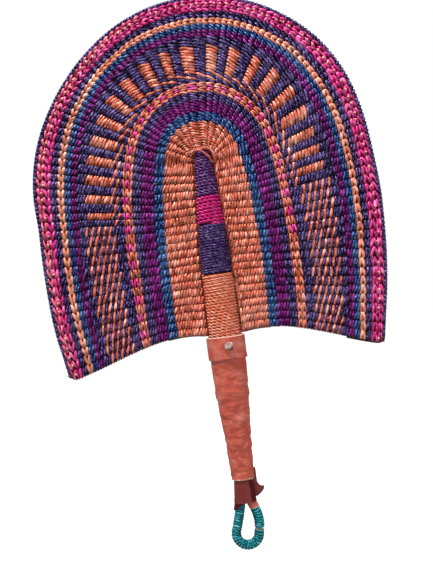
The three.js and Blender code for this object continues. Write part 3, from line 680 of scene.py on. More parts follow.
def group_material(name, group_name, build_group, colours, values, masks, distance):
    """A material round a finish group, which is built once, with its own colours and values."""
    material, tree, shader = new_material(name)
    group = bpy.data.node_groups.get(group_name) or build_group()
    node = add_node(tree, "ShaderNodeGroup", node_tree=group)
    for socket, key, kind in masks:
        feed(tree, node.inputs[socket], attribute(tree, key, kind))
    feed(tree, node.inputs["Place"], object_place(tree))
    for socket, colour in colours.items():
        node.inputs[socket].default_value = linear(colour)
    for socket, value in values.items():
        node.inputs[socket].default_value = value
    colour, roughness, height = (node.outputs[key] for key in ("Colour", "Roughness", "Height"))
    finish(tree, shader, colour, roughness, height, 0.5, distance)
    return material, shader


# Dye lots: label, dye, deepest tone, which also paints the shade in the weave's hollows and on the
# strands' sides, palest tone, which also paints the glints, how speckled and glinting and how uneven,
# and tint and strength of the sheen
DYES = {
    "orange": ("Orange straw", "d85a42", "540a00", "ffd4c0", 0.8, 0.8, "ffb088", 0.8),
    "orange_pale": ("Pale orange straw", "ee8868", "6c2010", "ffd0bc", 0.8, 0.8, "ffd0b8", 0.8),
    "blue": ("Blue straw", "091757", "02081a", "98c8f4", 0.8, 0.25, "5098e0", 0.5),
    "purple": ("Purple straw", "400436", "12001a", "d458d0", 0.7, 0.4, "b848b8", 0.5),
    "navy": ("Navy straw", "130424", "080316", "b89cf0", 0.85, 0.3, "8478c8", 0.5),
    "magenta": ("Magenta straw", "d21475", "5c0024", "ff98d0", 0.8, 0.8, "ff80c0", 0.8),
    "pink": ("Pink straw", "dc3c60", "4c0830", "ffb0c8", 0.8, 0.8, "ffa0b0", 0.8),
    "spine_purple": ("Purple binding of the spine", "62256c", "10041c", "d4b8f0", 1.0, 0.4, "a070d0", 0.6),
    "spine_magenta": ("Magenta binding of the spine", "f00788", "480018", "ff94c4", 0.8, 0.4, "ff80c0", 0.8),
    "spine_navy": ("Navy binding of the spine", "3f115e", "080214", "d0c0f0", 1.0, 0.4, "8878d8", 0.6),
    "spine_orange": ("Orange binding of the spine", "fb855c", "c05030", "ffe8d8", 1.0, 0.6, "ffe0c8", 0.9),
    "teal": ("Teal binding of the loop", "018c98", "000c10", "98f8fc", 1.0, 0.7, "50e0f0", 0.8),
    # The undyed straw shows mostly as its deepest tone: the painted shade of the stakes and the bundle
    # between the wefts and cords.
    "natural": ("Undyed straw", "ecdcc8", "2c1410", "ecdcb4", 0.5, 0.6, "402018", 0.3),
}
UNDYED_END = "ecc4a4"


def straw(dye):
    """The straw material of a dye lot, in the colour that the settings hold; made once."""
    name = "dyed_" + dye
    if name in bpy.data.materials:
        return bpy.data.materials[name]
    deep, pale, specks, unevenness, tint, sheen = DYES[dye][2:]
    colours = {"Dye": as_hex(getattr(bpy.context.scene.fan_dyes, dye)), "Deep Dye And Shade": deep, "Pale Dye And Glint": pale,
               "Straw": UNDYED_END}
    masks = (("Lay", "lay", "Vector"), ("Valley", "valley", "Fac"), ("Raw", "raw", "Fac"))
    values = {"Specks And Glints": specks, "Unevenness": unevenness}
    material, shader = group_material(name, "Dyed straw", straw_group, colours, values, masks, 0.0004)
    shader["Specular IOR Level"].default_value = sheen
    shader["Specular Tint"].default_value = linear(tint)
    return material


# Hides: name, label and colour, rubbed, creased and cut colour, and gloss
HIDES = {
    "tan": ("tan_hide", "b74f40", "d88874", "702c1c", "e8b8a4", 0.25),
    "maroon": ("maroon_hide", "702b2a", "84403c", "4a1c1e", "8a4a44", 0.15),
    # The dark hide is the maroon painted in shade: the wrap's under layer where it shows and its inner layer.
    "dark": ("maroon_hide_painted_shade", "4c1014", "5c1c20", "300a0c", "6a2e30", 0.08),
}


def leather(hide):
    """The leather material of a hide, in the colour that the settings hold where they have one; made once."""
    name, colour, rubbed, creased, cut, gloss = HIDES[hide]
    if name in bpy.data.materials:
        return bpy.data.materials[name]
    held = getattr(bpy.context.scene.fan_leather, hide, None)
    colours = {"Hide": colour if held is None else as_hex(held), "Rubbed": rubbed, "Creased": creased,
               "Raw Edge": cut}
    masks = (("Raw", "raw", "Fac"),)
    material, shader = group_material(name, "Worn leather", leather_group, colours, {}, masks, 0.0006)
    shader["Specular IOR Level"].default_value = gloss
    return material


def stick_material():
    """Dry wood with its grain along the handle."""
    material, tree, shader = new_material("stick_grain")
    fibres = cloud(tree, object_place(tree), (900, 900, 60), 4.0, 0.6)
    colour = mixed(tree, ramped(tree, fibres, 0.35, 0.65), linear("7a5a3a"), linear("a8845c"))
    finish(tree, shader, colour, ramped(tree, fibres, 0.3, 0.7, 0.8, 0.6), fibres, 0.4, 0.0005)
    return material


def peg_material():
    """Pale, fibrous end of the peg over a shank painted dark brown, the shade under its head."""
    material, tree, shader = new_material("peg_fibres")
    place = object_place(tree)
    fibres = cloud(tree, place, (1100, 260, 1100), 3.0, 0.6)
    blotches = cloud(tree, place, (420, 200, 420))
    pale = mixed(tree, ramped(tree, fibres, 0.38, 0.6), linear("6c4c44"), linear("d4b4aa"))
    pale = mixed(tree, ramped(tree, blotches, 0.48, 0.6, 0.0, 0.8), pale, linear("7c5c54"))
    # Painted shade: the shank below the head is dark brown; the head is the pale fibres.
    colour = mixed(tree, attribute(tree, "raw"), linear("5c3428"), pale)
    finish(tree, shader, colour, 0.75, fibres, 0.9, 0.0006)
    return material


# Blade

def weft_ring(shape, band, row, weave):
    """One row of weft: a strand folded round the blade, its two halves twined over the stakes."""
    low, high = band.edges
    pitch = (high - low) / band.rows
    row_f = low + (row + 0.5) * pitch
    stakes = band.stakes(row_f)
    count = len(stakes)
    knots = np.empty(2 * count + 1)
    knots[0], knots[-1] = 0, 1
    knots[1::2] = stakes
    knots[2:-1:2] = (stakes[1:] + stakes[:-1]) / 2
    there = (np.arange(count)[:, None] + STITCH_STEPS).ravel()
    back = np.append(there[-2::-1], -0.5)
    steps = np.concatenate([there, back])
    face = np.repeat([-1.0, 1.0], [len(there), len(back)])
    at_foot = (steps < -0.4) | (steps > count - 0.6)
    t = np.interp(steps, np.arange(len(knots)) / 2 - 0.5, knots)

    wave = np.cos(math.pi * steps)
    rise = np.abs(wave)
    crest = between([(0, FLAT_CREST), (FLAT_UNTIL, weave["crest"])], row_f)
    stitch = np.round(steps).astype(int) + 1
    loose = 1 + LOOSENESS * weave["uneven"] * shape.random.standard_normal(count + 3)
    slope = 1 + SLOPE_SPREAD * weave["uneven"] * shape.random.standard_normal(count + 3)
    y = face * np.sign(wave) * rise ** crest * weave["reach"] * np.minimum(loose[stitch], LOOSEST)
    y = np.where(at_foot, 0, y - CROSSING_SHIFT * (1 - rise))
    lean = np.where(at_foot, 0, -face * np.sin(math.pi * steps) * slope[stitch])
    wander = np.array([noise.noise(Vector((k * 34.0, row_f * 24.0, 2.0))) for k in t])
    f = row_f + (lean * band.slants[row % len(band.slants)] + ROW_WANDER * wander) * pitch
    across = outward_at(t, f)

    square_share = np.linalg.norm(np.cross(across, unit(round_at(t, f))), axis=1)
    body = np.where(at_foot, 1, STITCH_WAIST + STITCH_SWELL * rise ** 0.7)
    # Painted shade: the strand darkens where it dives behind the stakes, a little at the feet, and fully in
    # the row tucked beside the spine
    valley = np.where(at_foot, FOOT_SHADE, STITCH_SHADE * (1 - rise ** 0.9))
    if row_f < 0:
        valley[:] = TUCKED_SHADE
    wide = 0.5 * pitch * square_share * body * (weave["fill"] * band.full) * (2 - loose[stitch])
    middle = np.round((steps + np.roll(steps, -1)) / 2).astype(int).clip(0, count - 1)
    behind = (y + np.roll(y, -1)) >= 0
    turned = row in TURNED_ROWS.get(band.plan, ())
    inks = []
    for stake, hidden in zip(middle, behind):
        ink = band.plan(row, stake, stakes[stake])
        inks.append(1 - ink if turned and hidden else ink)
    shape.add_tube(blade(t, f, y), across, wide, weave["thick"], ring=True, inks=inks, valley=valley)


def build_band(band, weave, seed):
    shape = Shape(seed)
    for row in range(band.rows):
        weft_ring(shape, band, row, weave)
    shape.make(band.piece, band.slot, [straw(dye) for dye in band.dyes], band.node)


def add_stakes(shape, stakes, start, end, ink):
    """Flat bundles of straw from one row of the blade to another."""
    rows = np.linspace(start, end, max(2, round((end - start) * STAKE_STEPS)) + 1)
    middles = np.array([stakes(f) for f in rows]).T
    lines = [blade(t, rows, 0) for t in middles]
    spaces = [np.linalg.norm(b - a, axis=1) for a, b in zip(lines[:-1], lines[1:])]
    spaces = [spaces[0]] + spaces + [spaces[-1]]
    for t, line, before, after in zip(middles, lines, spaces[:-1], spaces[1:]):
        wide = STAKE_HALF_WIDTH * np.maximum(before, after)
        # Painted shade: the stakes are all in their deep dye, as they only show in the shade between the
        # wefts.
        shape.add_tube(line, round_at(t, rows), wide, STAKE_HALF_DEPTH, 8, inks=ink, valley=1.0)


def add_cut_ends(shape):
    """Cut ends of the stakes, which stick out in front between the two rows of the border."""
    f, y, leaning, wide, thick = CUT_END
    at_tip = np.array([0, 0, 0, 1])
    for t in rim_stakes(BORDER_MIDDLE):
        if shape.random.uniform() < MISSING_ENDS:
            continue
        lean, size, shift, tip = [shape.random.uniform(*spread) for spread in END_SPREADS]
        line = blade(t + lean * leaning, f + shift, y + tip * at_tip)
        across = np.repeat(round_at(np.array([t]), np.array([BORDER_MIDDLE])), 4, axis=0)
        shape.add_tube(line, across, size * wide, size * thick, 7, inks=1, raw_ends=True)


def build_rim(reach):
    """Navy edging: a strand whipped round the outer ends of the stakes."""
    shape = Shape(41)
    stakes = rim_stakes(1.0)
    knots = np.concatenate([[0], (stakes[1:] + stakes[:-1]) / 2, [1]])
    turns = len(stakes) * RIM_TURNS
    share = np.linspace(0, 1, turns * RIM_STEPS + 1)
    t = np.interp(share * len(stakes), np.arange(len(knots)), knots)
    angle = share * turns * 2 * math.pi
    line = blade(t, RIM_MIDDLE + RIM_HALF_WIDTH * np.cos(angle), -reach * np.sin(angle))
    along_rim = round_at(t, np.full(len(t), 0.99))
    run = np.linalg.norm(along_rim, axis=1) / turns
    shape.add_tube(line, along_rim, 0.5 * run * np.gradient(t, share), RIM_HALF_THICK)
    shape.make("rim_whipping", "straw_navy", [straw("navy")], "rim_navy")


# Spine

# Where the bindings start against the collar's top and end against the spine's tip; each from the
# collar up: name, dye lot, slot, height and pitch against the setting
SPINE_START, SPINE_END = -1.5, 1.2
SPINE_BINDINGS = (
    ("orange", "spine_orange", "straw_orange", 57.8, 1.13),
    ("indigo", "spine_navy", "straw_navy", 44.5, 1.04),
    ("magenta", "spine_magenta", "straw_magenta", 24.5, 1.28),
    ("purple", "spine_purple", "straw_purple", SPINE_LENGTH + SPINE_END - 126.5, 1.18),
)

# Half a ply of the cord, and how deep the ground under it lies, as shares of the pitch
CORD_PLY, GROUND_INSET = 0.29, 0.62


def add_cord(shape, line, outs, ply, lay):
    """A cord of two twisted strands laid along a line; outs point away from what it is wound on."""
    along = directions(line)
    outs = square_to(outs, along)
    side = np.cross(along, outs)
    for start in (0, math.pi):
        angle = 2 * math.pi * distances(line) / lay + start
        away = np.cos(angle)[:, None] * outs + np.sin(angle)[:, None] * side
        # Painted shade: each strand darkens to the deep dye as it turns to the back of the cord.
        ply_shade = 0.5 - 0.5 * np.cos(angle)
        shape.add_tube(line + away * ply * 0.88, away, ply * 0.82, ply * 0.98, valley=ply_shade)


def spine_winding(low, high, pitch, radius, seed):
    """Middle line of the cord between two levels of the spine, and the way out from the straw."""
    steps = 80
    n = np.arange(int((high - low) / pitch * steps) + 1) / steps
    wander = np.array([soft_noise(k * 0.9, seed, 0.0) for k in n])
    z = low + n * pitch + 0.16 * pitch * wander
    angle = (n + low / pitch) * 2 * math.pi
    half = spine_half(z)
    line = oval(angle, half - radius, half * OVAL_RATIO - radius, z)
    return line, oval(angle, 1, 1 / OVAL_RATIO, 0)


def oval(angle, wide, tall, z):
    """Points round the handle at those angles and levels."""
    return np.column_stack([wide * np.cos(angle), tall * np.sin(angle), np.broadcast_to(z, len(angle))])


def oval_sections(levels, sides, lobes=0, depth=0.0):
    """Rings of points round the handle: levels are (level, half width, inset)."""
    swell = 1 + depth * np.cos(lobes * circle(sides))
    return np.array([oval(circle(sides), (half - inset) * swell, (half * OVAL_RATIO - inset) * swell, z)
                     for z, half, inset in levels])


def soft_noise(x, y, z):
    return noise.noise(Vector((x, y, z)))


# Leather

# Angles between which the wrap's outer layer leaves its under layer bare, and how thick it is
WRAP_SEAM, WRAP_UNDER_END, WRAP_LAYER = -1.02, 0.75, 0.75


def leather_shell(shape, levels, half, inset, wall, dent, sides=128, low_edge=1.0):
    """A leather tube: half and inset give its outside, dent moves a point in or out."""
    top, end = levels[0], levels[-1]
    corner, near = min(0.35, wall * 0.3), 0.9
    outside = [(top, corner, 1.0), (top - corner, 0.0, 0.9), (top - near, 0.0, 0.45)]
    outside += [(z, 0.0, 0.0) for z in levels[1:-1]]
    outside += [(end + near, 0.0, 0.45 * low_edge), (end + corner, 0.0, 0.9 * low_edge)]
    outside += [(end, corner, low_edge)]
    inside = [(end + corner * 0.3, wall, low_edge)]
    inside += [(z, wall, 0.3 * low_edge) for z in levels[-2:0:-1]]
    inside += [(top - corner * 0.3, wall, 1.0)]
    angle = circle(sides)
    rows = []
    for z, depth, edge in outside + inside:
        move = np.array([dent(a, z) for a in angle])
        wide, tall = (size - inset(z) - depth + move for size in (half(z), half(z) * OVAL_RATIO))
        rows.append(oval(angle, wide, tall, z))
    raw = np.array([edge for z, depth, edge in outside + inside])
    shape.add_grid(np.array(rows), True, raw=raw[:, None])


def sleeve_dent(angle, z):
    """Dents and creases of the sleeve, deeper towards its lower end."""
    x, y = math.cos(angle) * 1.6, math.sin(angle) * 1.6
    broad = soft_noise(x * 1.2, y * 1.2, z * 0.11)
    lower = 0.7 + 0.3 * min(max((SLEEVE_TOP - 20 - z) / 60, 0), 1)
    fine = soft_noise(x * 1.2 + 7, y * 1.2, z * 0.26 + 3)
    crease = soft_noise(x * 1.5 + 20, y * 1.5, z * 0.62 + 0.05 * (angle * 12.5))
    groove = -max(0.0, 0.22 - abs(crease)) * 1.5
    fade = min(1, max(0, SLEEVE_TOP - z) / 5) * min(1, max(0, z - SLEEVE_END) / 4)
    return (0.9 * broad + 0.65 * fine * lower + 1.2 * groove * lower) * (0.25 + 0.75 * fade)


def collar_dent(angle, z):
    """The collar's soft outside, which flares a little over the sleeve at the right."""
    flare = max(0.0, 1 - (z - SLEEVE_TOP) / 4) * 0.55 * max(0.0, math.cos(angle + 0.7))
    return 0.16 * soft_noise(math.cos(angle) * 1.3, math.sin(angle) * 1.3, z * 0.1 + 11) + flare


def shows_under_layer(angle):
    """Whether the wrap's outer layer leaves its under layer bare at that angle."""
    return WRAP_SEAM < (angle + math.pi) % (2 * math.pi) - math.pi < WRAP_UNDER_END


def wrap_dent(angle, z):
    """The wrap's soft outside, a layer lower where the under layer shows."""
    step = WRAP_LAYER if shows_under_layer(angle) else 0
    return 0.1 * soft_noise(math.cos(angle) * 2.2, math.sin(angle) * 2.2, z * 0.2) - step


# Loop

# Size and lean of the hanging loop, the break in its binding, how deep it is tucked in, its tab, and
# the ridge in front from which the turns of its binding rise
LOOP_WIDTH, LOOP_DROP, LOOP_LEAN, LOOP_SWAY = 20.8, 39.0, 2.0, 0.9
LOOP_LEG_SPACING, LOOP_THICKNESS = 9.6, 9.3
LOOP_BREAK_Z = WRAP_MOUTH - LOOP_DROP + 14.0
LOOP_BREAK_HALF, LOOP_TUCK = 1.4, 11.3
LOOP_RADIUS = LOOP_WIDTH / 2
LOOP_LEG_DEPTH = LOOP_DROP - LOOP_RADIUS
TAB_LENGTH = 6.0
RIDGE_ANGLE = math.radians(112)
LOOP_SLANT = 1.7
BACK = np.array([0.0, 1.0, 0.0])


def loop_line():
    """The hanging loop's middle line, from its left end to its right end."""
    def leg(side):
        share = np.arange(4) / 4
        spread = LOOP_LEG_SPACING / 2
        x = side * (spread + (LOOP_RADIUS - spread) * np.sin(share * math.pi / 2))
        shift = LOOP_SWAY * np.sin(share * math.pi) - LOOP_LEAN * share ** 2
        below = np.column_stack([x + shift, np.zeros(4), WRAP_MOUTH - share * LOOP_LEG_DEPTH])
        return np.vstack([(side * spread, 0, SLEEVE_END - LOOP_TUCK), below])
    turn = math.pi + np.arange(7) * math.pi / 6
    arc = np.column_stack([LOOP_RADIUS * np.cos(turn) - LOOP_LEAN, np.zeros(7),
                           WRAP_MOUTH - LOOP_LEG_DEPTH + LOOP_RADIUS * np.sin(turn)])
    return smooth_line(np.vstack([leg(-1), arc, leg(1)[::-1]]), 401)


def loop_share(line, z, right_leg):
    """The share of the loop's length at which it passes a level on one of its legs."""
    below = np.flatnonzero(line[:, 2] <= z)
    return (below[-1] if right_leg else below[0]) / (len(line) - 1)


def round_loop(line, shares, angle, step):
    """The loop's middle at those shares of its length, its direction, and the way out at those angles."""
    along = unit(along_line(line, shares + step) - along_line(line, shares - step))
    away = np.column_stack([-along[:, 2], np.zeros(len(along)), along[:, 0]])
    return along_line(line, shares), along, np.cos(angle)[:, None] * away - np.sin(angle)[:, None] * BACK


def add_loop_winding(shape, line, start, end, pitch):
    """A strand wound round a stretch of the loop, whose turns rise to both sides of a ridge in front."""
    steps = 36
    length = line_length(line)
    turns = (end - start) * length / pitch + 1
    n = np.arange(int(turns * steps) + 1) / steps
    left = np.maximum(turns - n, 0)
    climb = np.where(n < 1, n ** 2 / 2, n - 0.5)
    climb = np.where(left < 1, turns - 1 - left ** 2 / 2, climb)
    angle = n * 2 * math.pi
    from_ridge = np.abs((angle - RIDGE_ANGLE + math.pi) % (2 * math.pi) - math.pi) / math.pi
    rise = LOOP_SLANT * pitch * np.clip(np.minimum(n, left) / 3, 0, 1)
    uneven = np.array([soft_noise(k * 0.8, 3.0, 5.0) for k in n])
    shares = start + (climb * pitch + (from_ridge - 0.4) * rise + 0.12 * pitch * uneven) / length
    middle, along, outs = round_loop(line, shares, angle, 0.004)
    thick = pitch * 0.3
    strand = middle + outs * (LOOP_THICKNESS / 2 - thick)
    below = along_line(line, np.linspace(start, end, 90))
    lowest = LOOP_THICKNESS / 2 - 0.9 * thick
    # Painted shade: the core under the turns is all in the teal's deep tone, where it shows between them.
    shape.add_tube(below, BACK, lowest, lowest, 24, valley=1.0)
    gaps = np.linalg.norm(strand[steps:] - strand[:-steps], axis=1)
    gaps = np.maximum(np.concatenate([gaps, np.repeat(gaps[-1:], steps)]), 0.8 * pitch)
    # Painted shade: the turns darken away from the ridge in front, on the loop's far flank.
    flank_shade = np.abs(np.sin((angle - RIDGE_ANGLE) / 2)) ** 0.8
    shape.add_tube(strand, along, 0.38 * gaps, thick, 8, valley=0.95 * flank_shade)


# Settings

def colour_setting(name, description, colour):
    return bpy.props.FloatVectorProperty(name=name, description=description, subtype="COLOR", size=3,
                                         min=0.0, max=1.0, default=linear(colour)[:3])


def length_setting(name, description, default, low, high):
    """A setting for a length, whose default and limits are given in millimetres."""
    return bpy.props.FloatProperty(name=name, description=description, default=default * MM,
                                   min=low * MM, max=high * MM, unit="LENGTH", precision=4)


class DyeSettings(bpy.types.PropertyGroup):
    """Colours of the dyed straw."""


for dye_key, (dye_label, dye_colour, *_) in DYES.items():
    DyeSettings.__annotations__[dye_key] = colour_setting(
        dye_label, f"Colour of the {dye_label.lower()}", dye_colour)


class BladeSettings(bpy.types.PropertyGroup):
    """Sizes of the blade's weave."""

    weft_thickness: length_setting("Weft Thickness", "Thickness of a weft strand", 1.6, 0.5, 3)
    weft_reach: length_setting(
        "Weft Reach", "How far the middle of a weft strand stands off the blade's middle", 2.5, 1, 4)
    border_thickness: length_setting("Border Thickness", "Thickness of a strand of the border", 2.5, 0.5, 4)
    border_reach: length_setting(
        "Border Reach", "How far the middle of a border strand stands off the blade's middle", 2.95, 1, 5)


class BindingSettings(bpy.types.PropertyGroup):
    """Sizes of the bindings on the spine and the loop."""

    spine_pitch: length_setting("Spine Pitch", "Rise of one turn of the cord on the spine", 2.3, 1, 4)
    spine_lay: length_setting("Spine Lay", "Length in which the cord's two strands twist once", 9.0, 2, 20)
    loop_pitch: length_setting("Loop Pitch", "Rise of one turn of the strand on the loop", 2.35, 1, 6)


class LeatherSettings(bpy.types.PropertyGroup):
    """Colours and wall of the leather."""

    tan: colour_setting("Tan Leather", "Colour of the sleeve, collar and tab", HIDES["tan"][1])
    maroon: colour_setting("Maroon Leather", "Colour of the wrap on the end of the grip", HIDES["maroon"][1])
    wall: length_setting("Wall", "Thickness of the sleeve's leather", 1.2, 0.5, 3)


class StageSettings(bpy.types.PropertyGroup):
    """Camera and light."""

    distance: bpy.props.FloatProperty(
        name="Camera Distance", description="Distance of the camera from the fan", default=0.75,
        min=0.3, max=3.0, unit="LENGTH")
    roll: bpy.props.FloatProperty(
        name="Camera Roll", description="How far the fan leans to the left in the picture",
        default=math.radians(7.2), min=-math.pi, max=math.pi, subtype="ANGLE")
    look_down: bpy.props.FloatProperty(
        name="Look Down", description="How far the camera looks down on the fan",
        default=math.radians(1.2), min=-math.pi / 2, max=math.pi / 2, subtype="ANGLE")
    key_power: bpy.props.FloatProperty(
        name="Key Light", description="Power of the soft light above the fan", default=38.0,
        min=0.0, max=200.0, unit="POWER")
    fill: bpy.props.FloatProperty(
        name="Fill Light", description="Strength of the even light from all round", default=0.21,
        min=0.0, max=2.0, subtype="FACTOR")


# Operators

class FAN_OT_stakes(bpy.types.Operator):
    """Adds the straw stakes that carry the weave, with their cut ends in the border"""

    bl_idname = "fan.stakes"
    bl_label = "Straw Stakes"

    def execute(self, context):
        shape = Shape(7)
        groups = zip((inner_stakes, blue_stakes, middle_stakes, rim_stakes), STAKE_ROWS[:-1], STAKE_ROWS[1:])
        for number, (stakes, start, end) in enumerate(groups):
            # The stakes under the orange field take the orange dye, so their painted shade there is deep
            # orange.
            add_stakes(shape, stakes, start - STAKE_OVERLAP, end + STAKE_OVERLAP, 0 if number else 2)
        add_cut_ends(shape)
        lots = [straw("natural"), straw("orange_pale"), straw("orange")]
        shape.make("straw_stakes", "straw_natural", lots, "stake_mat")
        return {"FINISHED"}


class FAN_OT_wefts(bpy.types.Operator):
    """Twines the rows of dyed straw over the stakes, band by band"""

    bl_idname = "fan.wefts"
    bl_label = "Twined Wefts"

    def execute(self, context):
        settings = context.scene.fan_blade
        weave = {"reach": settings.weft_reach / MM, "thick": settings.weft_thickness / 2 / MM,
                 "crest": 0.95, "fill": 1.16, "uneven": 1.0}
        for number, band in enumerate(BANDS):
            build_band(band, weave, 11 + number)
        return {"FINISHED"}


class FAN_OT_border(bpy.types.Operator):
    """Adds the chunky plaited border and the whipped edge"""

    bl_idname = "fan.border"
    bl_label = "Plaited Border"

    def execute(self, context):
        settings = context.scene.fan_blade
        weave = {"reach": settings.border_reach / MM, "thick": settings.border_thickness / 2 / MM,
                 "crest": 0.8, "fill": 1.2, "uneven": 2.6}
        for number, band in enumerate(BRAIDS):
            build_band(band, weave, 31 + number)
        build_rim(settings.weft_reach / MM)
        return {"FINISHED"}


class FAN_OT_spine(bpy.types.Operator):
    """Winds the four coloured cords round the straw of the spine"""

    bl_idname = "fan.spine"
    bl_label = "Spine Bindings"

    def execute(self, context):
        settings = context.scene.fan_bindings
        low = COLLAR_TOP + SPINE_START
        for number, (name, dye, slot, height, ratio) in enumerate(SPINE_BINDINGS):
            shape = Shape(51 + number)
            pitch = settings.spine_pitch / MM * ratio
            line, outs = spine_winding(low, low + height, pitch, pitch / 2, number)
            add_cord(shape, line, outs, pitch * CORD_PLY, settings.spine_lay / MM)
            levels = [(z, spine_half(z), pitch * GROUND_INSET)
                      for z in np.linspace(low, low + height - 0.3, 12)]
            if name == "purple":
                levels[-2:] = [(SPINE_TIP - 0.3, SPINE_TIP_HALF, 1.2), (SPINE_TIP + 2.3, SPINE_TIP_HALF, 1.9)]
            # Painted shade: the ground under the cord is all in the deep dye; over the purple binding it also
            # closes the spine's tip in shade.
            shape.add_body(oval_sections(levels, 64), valley=1.0)
            shape.make("spine_binding_" + name, slot, [straw(dye)], "binding_" + name)
            low += height
        return {"FINISHED"}


class FAN_OT_bundle(bpy.types.Operator):
    """Adds the straw bundle inside the spine and the grip, and finishes the hidden stick"""

    bl_idname = "fan.bundle"
    bl_label = "Straw Bundle"

    def execute(self, context):
        shape = Shape(61)
        sides, lobes, depth = 96, 24, 0.03
        levels = [(z, half, 2.9) for z, half in (
            (SLEEVE_END - 11, 10.1), (SLEEVE_END, 10.0), (SLEEVE_END + 8, 10.1), (-11.5, 12.3), (32.5, 15.5),
            (SLEEVE_TOP, COLLAR_HALF))]
        levels += [(COLLAR_TOP, COLLAR_HALF, 1.2)]
        levels += [(COLLAR_TOP + rise, spine_half(COLLAR_TOP + rise), 2.6)
                   for rise in (0.5, 40, 82, 105, 128, 146, SPINE_LENGTH - 1)]
        levels += [(SPINE_TIP + rise, SPINE_TIP_HALF, inset)
                   for rise, inset in ((1, 3.4), (2.4, 4.4), (2.8, 5.4))]
        grid = oval_sections(levels, sides, lobes, depth)
        angle = np.broadcast_to(circle(sides) * 3, grid.shape[:2])
        # Painted shade: the bundle is all in the undyed straw's deep tone, as it only shows in the shade
        # between the cords.
        shape.add_body(grid, lay=np.stack([np.cos(angle), np.sin(angle), grid[..., 2]], axis=-1), valley=1.0)
        shape.make("straw_bundle_core", "straw_natural", [straw("natural")], "straw_bundle")
        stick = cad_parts["core_stick"]
        stick.data.materials.clear()
        stick.data.materials.append(stick_material())
        return {"FINISHED"}


class FAN_OT_tip_strand(bpy.types.Operator):
    """Lays the orange strands over the tip of the spine"""

    bl_idname = "fan.tip_strand"
    bl_label = "Tip Strand"

    def execute(self, context):
        shape = Shape(71)
        over = [(-13.6, -1.6, 237.6), (-12.9, -3.6, 239.8), (-10.4, -4.9, 241.6), (-6.6, -6.0, 242.0),
                (-1.5, -7.2, 241.1), (2.0, -8.0, 238.4), (5.0, -7.2, 235.3), (7.0, -5.6, 232.1),
                (8.3, -3.2, 229.6)]
        beside = [(-4.0, -4.2, 242.6), (-0.6, -5.8, 243.0), (3.0, -6.0, 243.1), (6.6, -5.6, 242.0),
                  (9.0, -5.2, 239.2), (10.0, -4.8, 235.5), (10.3, -3.9, 231.6), (10.4, -2.0, 229.8)]
        for knots, wide in ((over, 1.0), (beside, 1.1)):
            line = smooth_line(knots, 60)
            outs = np.column_stack([line[:, 0], np.zeros(60), line[:, 2] - 230.0])
            for shift in (-0.42, 0.42):
                shape.add_tube(line + unit(outs) * wide * shift, outs, wide * 0.55, 0.7, 8)
        shape.make("tip_strands", "straw_orange", [straw("orange")], "tip_strand")
        return {"FINISHED"}


